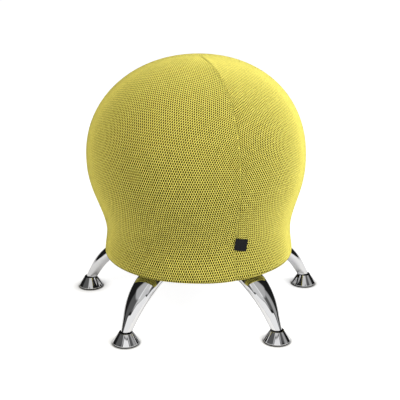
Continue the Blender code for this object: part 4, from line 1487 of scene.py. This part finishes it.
@dataclass(frozen=True)
class MirrorRoom:
    """A dark tent that only mirrors see, to give the chrome contrast.

    A white board stands round the front. Grey walls start over it, past a dark gap at the sides, under a
    grey roof with two lighter strips. Angles are in degrees: the azimuth from the front, or its size,
    and the elevation. Each pair of angles is a soft edge.
    """

    radius: float = 3.2
    columns: int = 73
    rows: int = 32
    lowest: float = -3.0
    dark: float = 0.012
    board: float = 0.85
    board_ends: Pair = (76.0, 90.0)
    board_edge: Pair = (-1.0, 1.0)
    board_top: float = 6.0
    front_rise: float = 18.0
    front_ends: Pair = (50.0, 78.0)
    middle_rise: float = 15.0
    middle_ends: Pair = (18.0, 38.0)
    gap: float = 4.0
    gap_starts: Pair = (14.0, 30.0)
    gap_edge: Pair = (-0.5, 2.5)
    wall: float = 0.085
    wall_ends: Pair = (86.0, 96.0)
    middle_wall: float = 0.50
    middle_wall_ends: Pair = (28.0, 42.0)
    right_wall: float = 0.25
    right_wall_starts: Pair = (60.0, 70.0)
    roof: float = 0.42
    roof_starts: Pair = (44.0, 50.0)
    roof_ends: Pair = (92.0, 104.0)
    strip: float = 0.4
    strip_starts: Pair = (20.0, 25.0)
    strip_ends: Pair = (32.0, 38.0)

    def level(self, bench: Bench) -> Value:
        """Return how bright the tent is at each place.

        Args:
            bench: The bench of the tent's material.

        Returns:
            The brightness.
        """
        x, y, z = bench.parts(bench.place())
        around = x.math("ARCTAN2", x, y * -1.0) * math.degrees(1.0)
        up = x.math("ARCSINE", z * (1.0 / self.radius)) * math.degrees(1.0)
        spread = around.size()
        wall = self.wall + self.middle_wall * bench.fall(spread, *self.middle_wall_ends)
        wall = wall + self.right_wall * bench.step(around, *self.right_wall_starts)
        wall = wall * bench.fall(spread, *self.wall_ends)
        strip = bench.step(spread, *self.strip_starts) * bench.fall(spread, *self.strip_ends)
        roof = bench.step(up, *self.roof_starts) * bench.fall(spread, *self.roof_ends)
        roof = roof * (self.roof + self.strip * strip)
        top = self.board_top + self.front_rise * bench.fall(spread, *self.front_ends)
        above = up - (top + self.middle_rise * bench.fall(spread, *self.middle_ends))
        board = bench.fall(above, *self.board_edge) * bench.fall(spread, *self.board_ends)
        gap = self.gap * bench.step(spread, *self.gap_starts)
        grey = bench.step(above - gap, *self.gap_edge) * wall.largest(roof)
        return self.dark + (self.board * board).largest(grey)

    def build(self) -> None:
        """Hang the tent, a sphere on azimuth and elevation, and let only mirrors see it."""
        turn, rise = np.meshgrid(np.radians(np.linspace(-180.0, 180.0, self.columns)),
                                 np.radians(np.linspace(self.lowest, 90.0, self.rows)))
        ways = [np.cos(rise) * np.sin(turn), -np.cos(rise) * np.cos(turn), np.sin(rise)]
        points = self.radius * np.stack(ways, axis=-1).reshape(-1, 3)
        item, bench = stage_piece("mirror_room", points, grid_faces(self.rows, self.columns))
        light = bench.add("ShaderNodeEmission", {}, {"Color": self.level(bench), "Strength": 1.0})
        bench.add("ShaderNodeOutputMaterial", {}, {"Surface": light})
        for rays in ("camera", "diffuse", "shadow", "transmission", "volume_scatter"):
            setattr(item, f"visible_{rays}", False)


@dataclass(frozen=True)
class Lamp:
    """A square soft lamp that mirrors don't see."""

    name: str
    place: Place
    side: float
    power: float
    tint: Rgb = (1.0, 1.0, 1.0)

    def hang(self, target: Vector) -> None:
        """Hang the lamp in its place, facing the target."""
        data = bpy.data.lights.new(self.name, "AREA")
        data.color = self.tint
        data.size = self.side
        data.energy = self.power
        item = bpy.data.objects.new(self.name, data)
        item.location = self.place
        item.rotation_euler = (target - Vector(self.place)).to_track_quat("-Z", "Y").to_euler()
        item.visible_glossy = False
        bpy.context.scene.collection.objects.link(item)


@dataclass
class Studio:
    """Floor, backdrop, lamps and the camera, at the photograph's viewing angle."""

    layout: Layout
    target_z: float = 0.2468
    distance: float = 2.0644
    elevation: float = math.radians(18.2)
    azimuth: float = math.radians(-1.65)
    lens: float = 81.05
    shift: float = 0.0035
    world_level: float = 0.62
    flag_shade: float = 0.95
    flag_way: Place = (-math.sqrt(0.5), math.sqrt(0.5), 0.0)
    flag_edges: Pair = (-0.25, 0.35)
    floor_half: float = 8.0
    floor_grey: float = 0.80
    floor_shown: float = 0.90
    shadow_grey: float = 0.40
    # Painted shadow round the feet: how far the occlusion node looks, and how dark it paints.
    painted_contact_reach: float = 0.03
    painted_contact_shadow: float = 2.4
    mirror_dim: float = 0.46
    # Painted shade in mirrors: the floor darker far out, and a painted shadow near the middle, under the stool.
    painted_far_falloff: float = 0.34
    far_edges: Pair = (0.5, 1.8)
    painted_mirror_shadow: float = 0.22
    painted_mirror_shadow_edges: Pair = (0.12, 0.30)
    mirror_room: MirrorRoom = MirrorRoom()
    lamps: tuple[Lamp, ...] = (
        Lamp("key_right", (1.7, -1.27, 1.55), 1.2, 52.0),
        Lamp("front_top", (-0.5, -1.2, 2.7), 1.4, 14.0),
        Lamp("warm_left", (-1.3, -1.7, 1.6), 1.4, 25.0, (1.0, 0.93, 0.80)),
    )

    def target(self) -> Vector:
        """Return the place on the stool's axis that the camera and the lamps face."""
        return Vector((0.0, self.layout.axis_y, self.target_z))

    def camera(self) -> None:
        """Put the camera at the fitted distance and look at the stool's axis."""
        level = self.distance * math.cos(self.elevation)
        offset = Vector((math.sin(self.azimuth) * level, -math.cos(self.azimuth) * level,
                         math.sin(self.elevation) * self.distance))
        data = bpy.data.cameras.new("photo_view")
        data.lens = self.lens
        data.shift_x = self.shift
        item = bpy.data.objects.new("photo_view", data)
        item.location = self.target() + offset
        item.rotation_euler = (-offset).to_track_quat("-Z", "Y").to_euler()
        bpy.context.scene.collection.objects.link(item)
        bpy.context.scene.camera = item

    def seen(self, bench: Bench) -> Value:
        """Return 1 for rays from the camera, or that a mirror or glass sends on."""
        path = bench.add("ShaderNodeLightPath").socket.node
        camera, glossy, through = (Value(bench, path.outputs[name]) for name in SEEN_RAYS)
        return camera.largest(glossy).largest(through)

    def world(self) -> None:
        """Light softly from all round, less from the left at the back, and show white."""
        world = bpy.data.worlds.new("white_studio")
        world.use_nodes = True
        bench = Bench(world.node_tree)
        seen = self.seen(bench)
        way = bench.add("ShaderNodeTexCoord", out="Generated")
        left_back = bench.add("ShaderNodeVectorMath", {"operation": "DOT_PRODUCT"},
                              {0: way, 1: self.flag_way}, "Value")
        soft = self.world_level * (1.0 - self.flag_shade * bench.step(left_back, *self.flag_edges))
        back = bench.add("ShaderNodeBackground", {}, {"Color": soft.largest(seen), "Strength": 1.0})
        bench.add("ShaderNodeOutputWorld", {}, {"Surface": back})
        bpy.context.scene.world = world

    def floor(self) -> None:
        """Lay a pale floor that shows white and keeps the stool's soft shadow, with a painted shadow round the
        feet; it is dimmer in mirrors, with painted fall-off far out and a painted shadow under the stool.
        """
        points = np.array([(-1, -1, 0), (1, -1, 0), (1, 1, 0), (-1, 1, 0)], dtype=float) * self.floor_half
        _, bench = stage_piece("floor", points, np.arange(4)[None])
        plain, lit = (bench.add("ShaderNodeBsdfDiffuse", {}, {"Color": (grey, grey, grey, 1.0)})
                      for grey in (self.floor_grey, self.shadow_grey))
        mirrored = bench.add("ShaderNodeLightPath", out="Is Glossy Ray")
        far = bench.add("ShaderNodeVectorMath", {"operation": "LENGTH"}, {0: bench.place()}, "Value")
        # In mirrors the floor is dimmer, with painted fall-off far out and a painted shadow under the stool.
        mirror_dim_and_painted_shade = self.mirror_dim + self.painted_far_falloff * bench.step(far, *self.far_edges)
        mirror_dim_and_painted_shade = mirror_dim_and_painted_shade + self.painted_mirror_shadow * bench.fall(far, *self.painted_mirror_shadow_edges)
        # Painted shadow round the feet: an occlusion node darkens the floor's white.
        painted_contact = 1.0 - bench.add("ShaderNodeAmbientOcclusion", {}, {"Distance": self.painted_contact_reach}, "AO")
        level = self.floor_shown - mirrored * mirror_dim_and_painted_shade - self.painted_contact_shadow * painted_contact
        white = bench.add("ShaderNodeEmission", {}, {"Color": level.largest(0.0), "Strength": 1.0})
        shown = bench.add("ShaderNodeAddShader", {}, {0: white, 1: lit})
        mixed = bench.add("ShaderNodeMixShader", {}, {0: self.seen(bench), 1: plain, 2: shown})
        bench.add("ShaderNodeOutputMaterial", {}, {"Surface": mixed})

    def build(self) -> None:
        """Set up the whole studio."""
        bpy.context.scene.view_settings.view_transform = "Standard"
        self.camera()
        self.world()
        self.floor()
        self.mirror_room.build()
        for lamp in self.lamps:
            lamp.hang(self.target())


def main() -> None:
    """Build the stool's pieces in order, then the studio."""
    logging.basicConfig(level=logging.INFO, format="%(name)s: %(message)s")
    low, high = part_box("hub_plate")
    layout = Layout(axis_y=(low.y + high.y) / 2.0)
    bounce = Bounce(layout)
    Cover(layout).build(bounce)
    Core(layout).build(bounce)
    Legs(layout).build()
    Feet(layout).build()
    Hub(layout).build()
    Studio(layout).build()


if __name__ == "__main__":
    main()
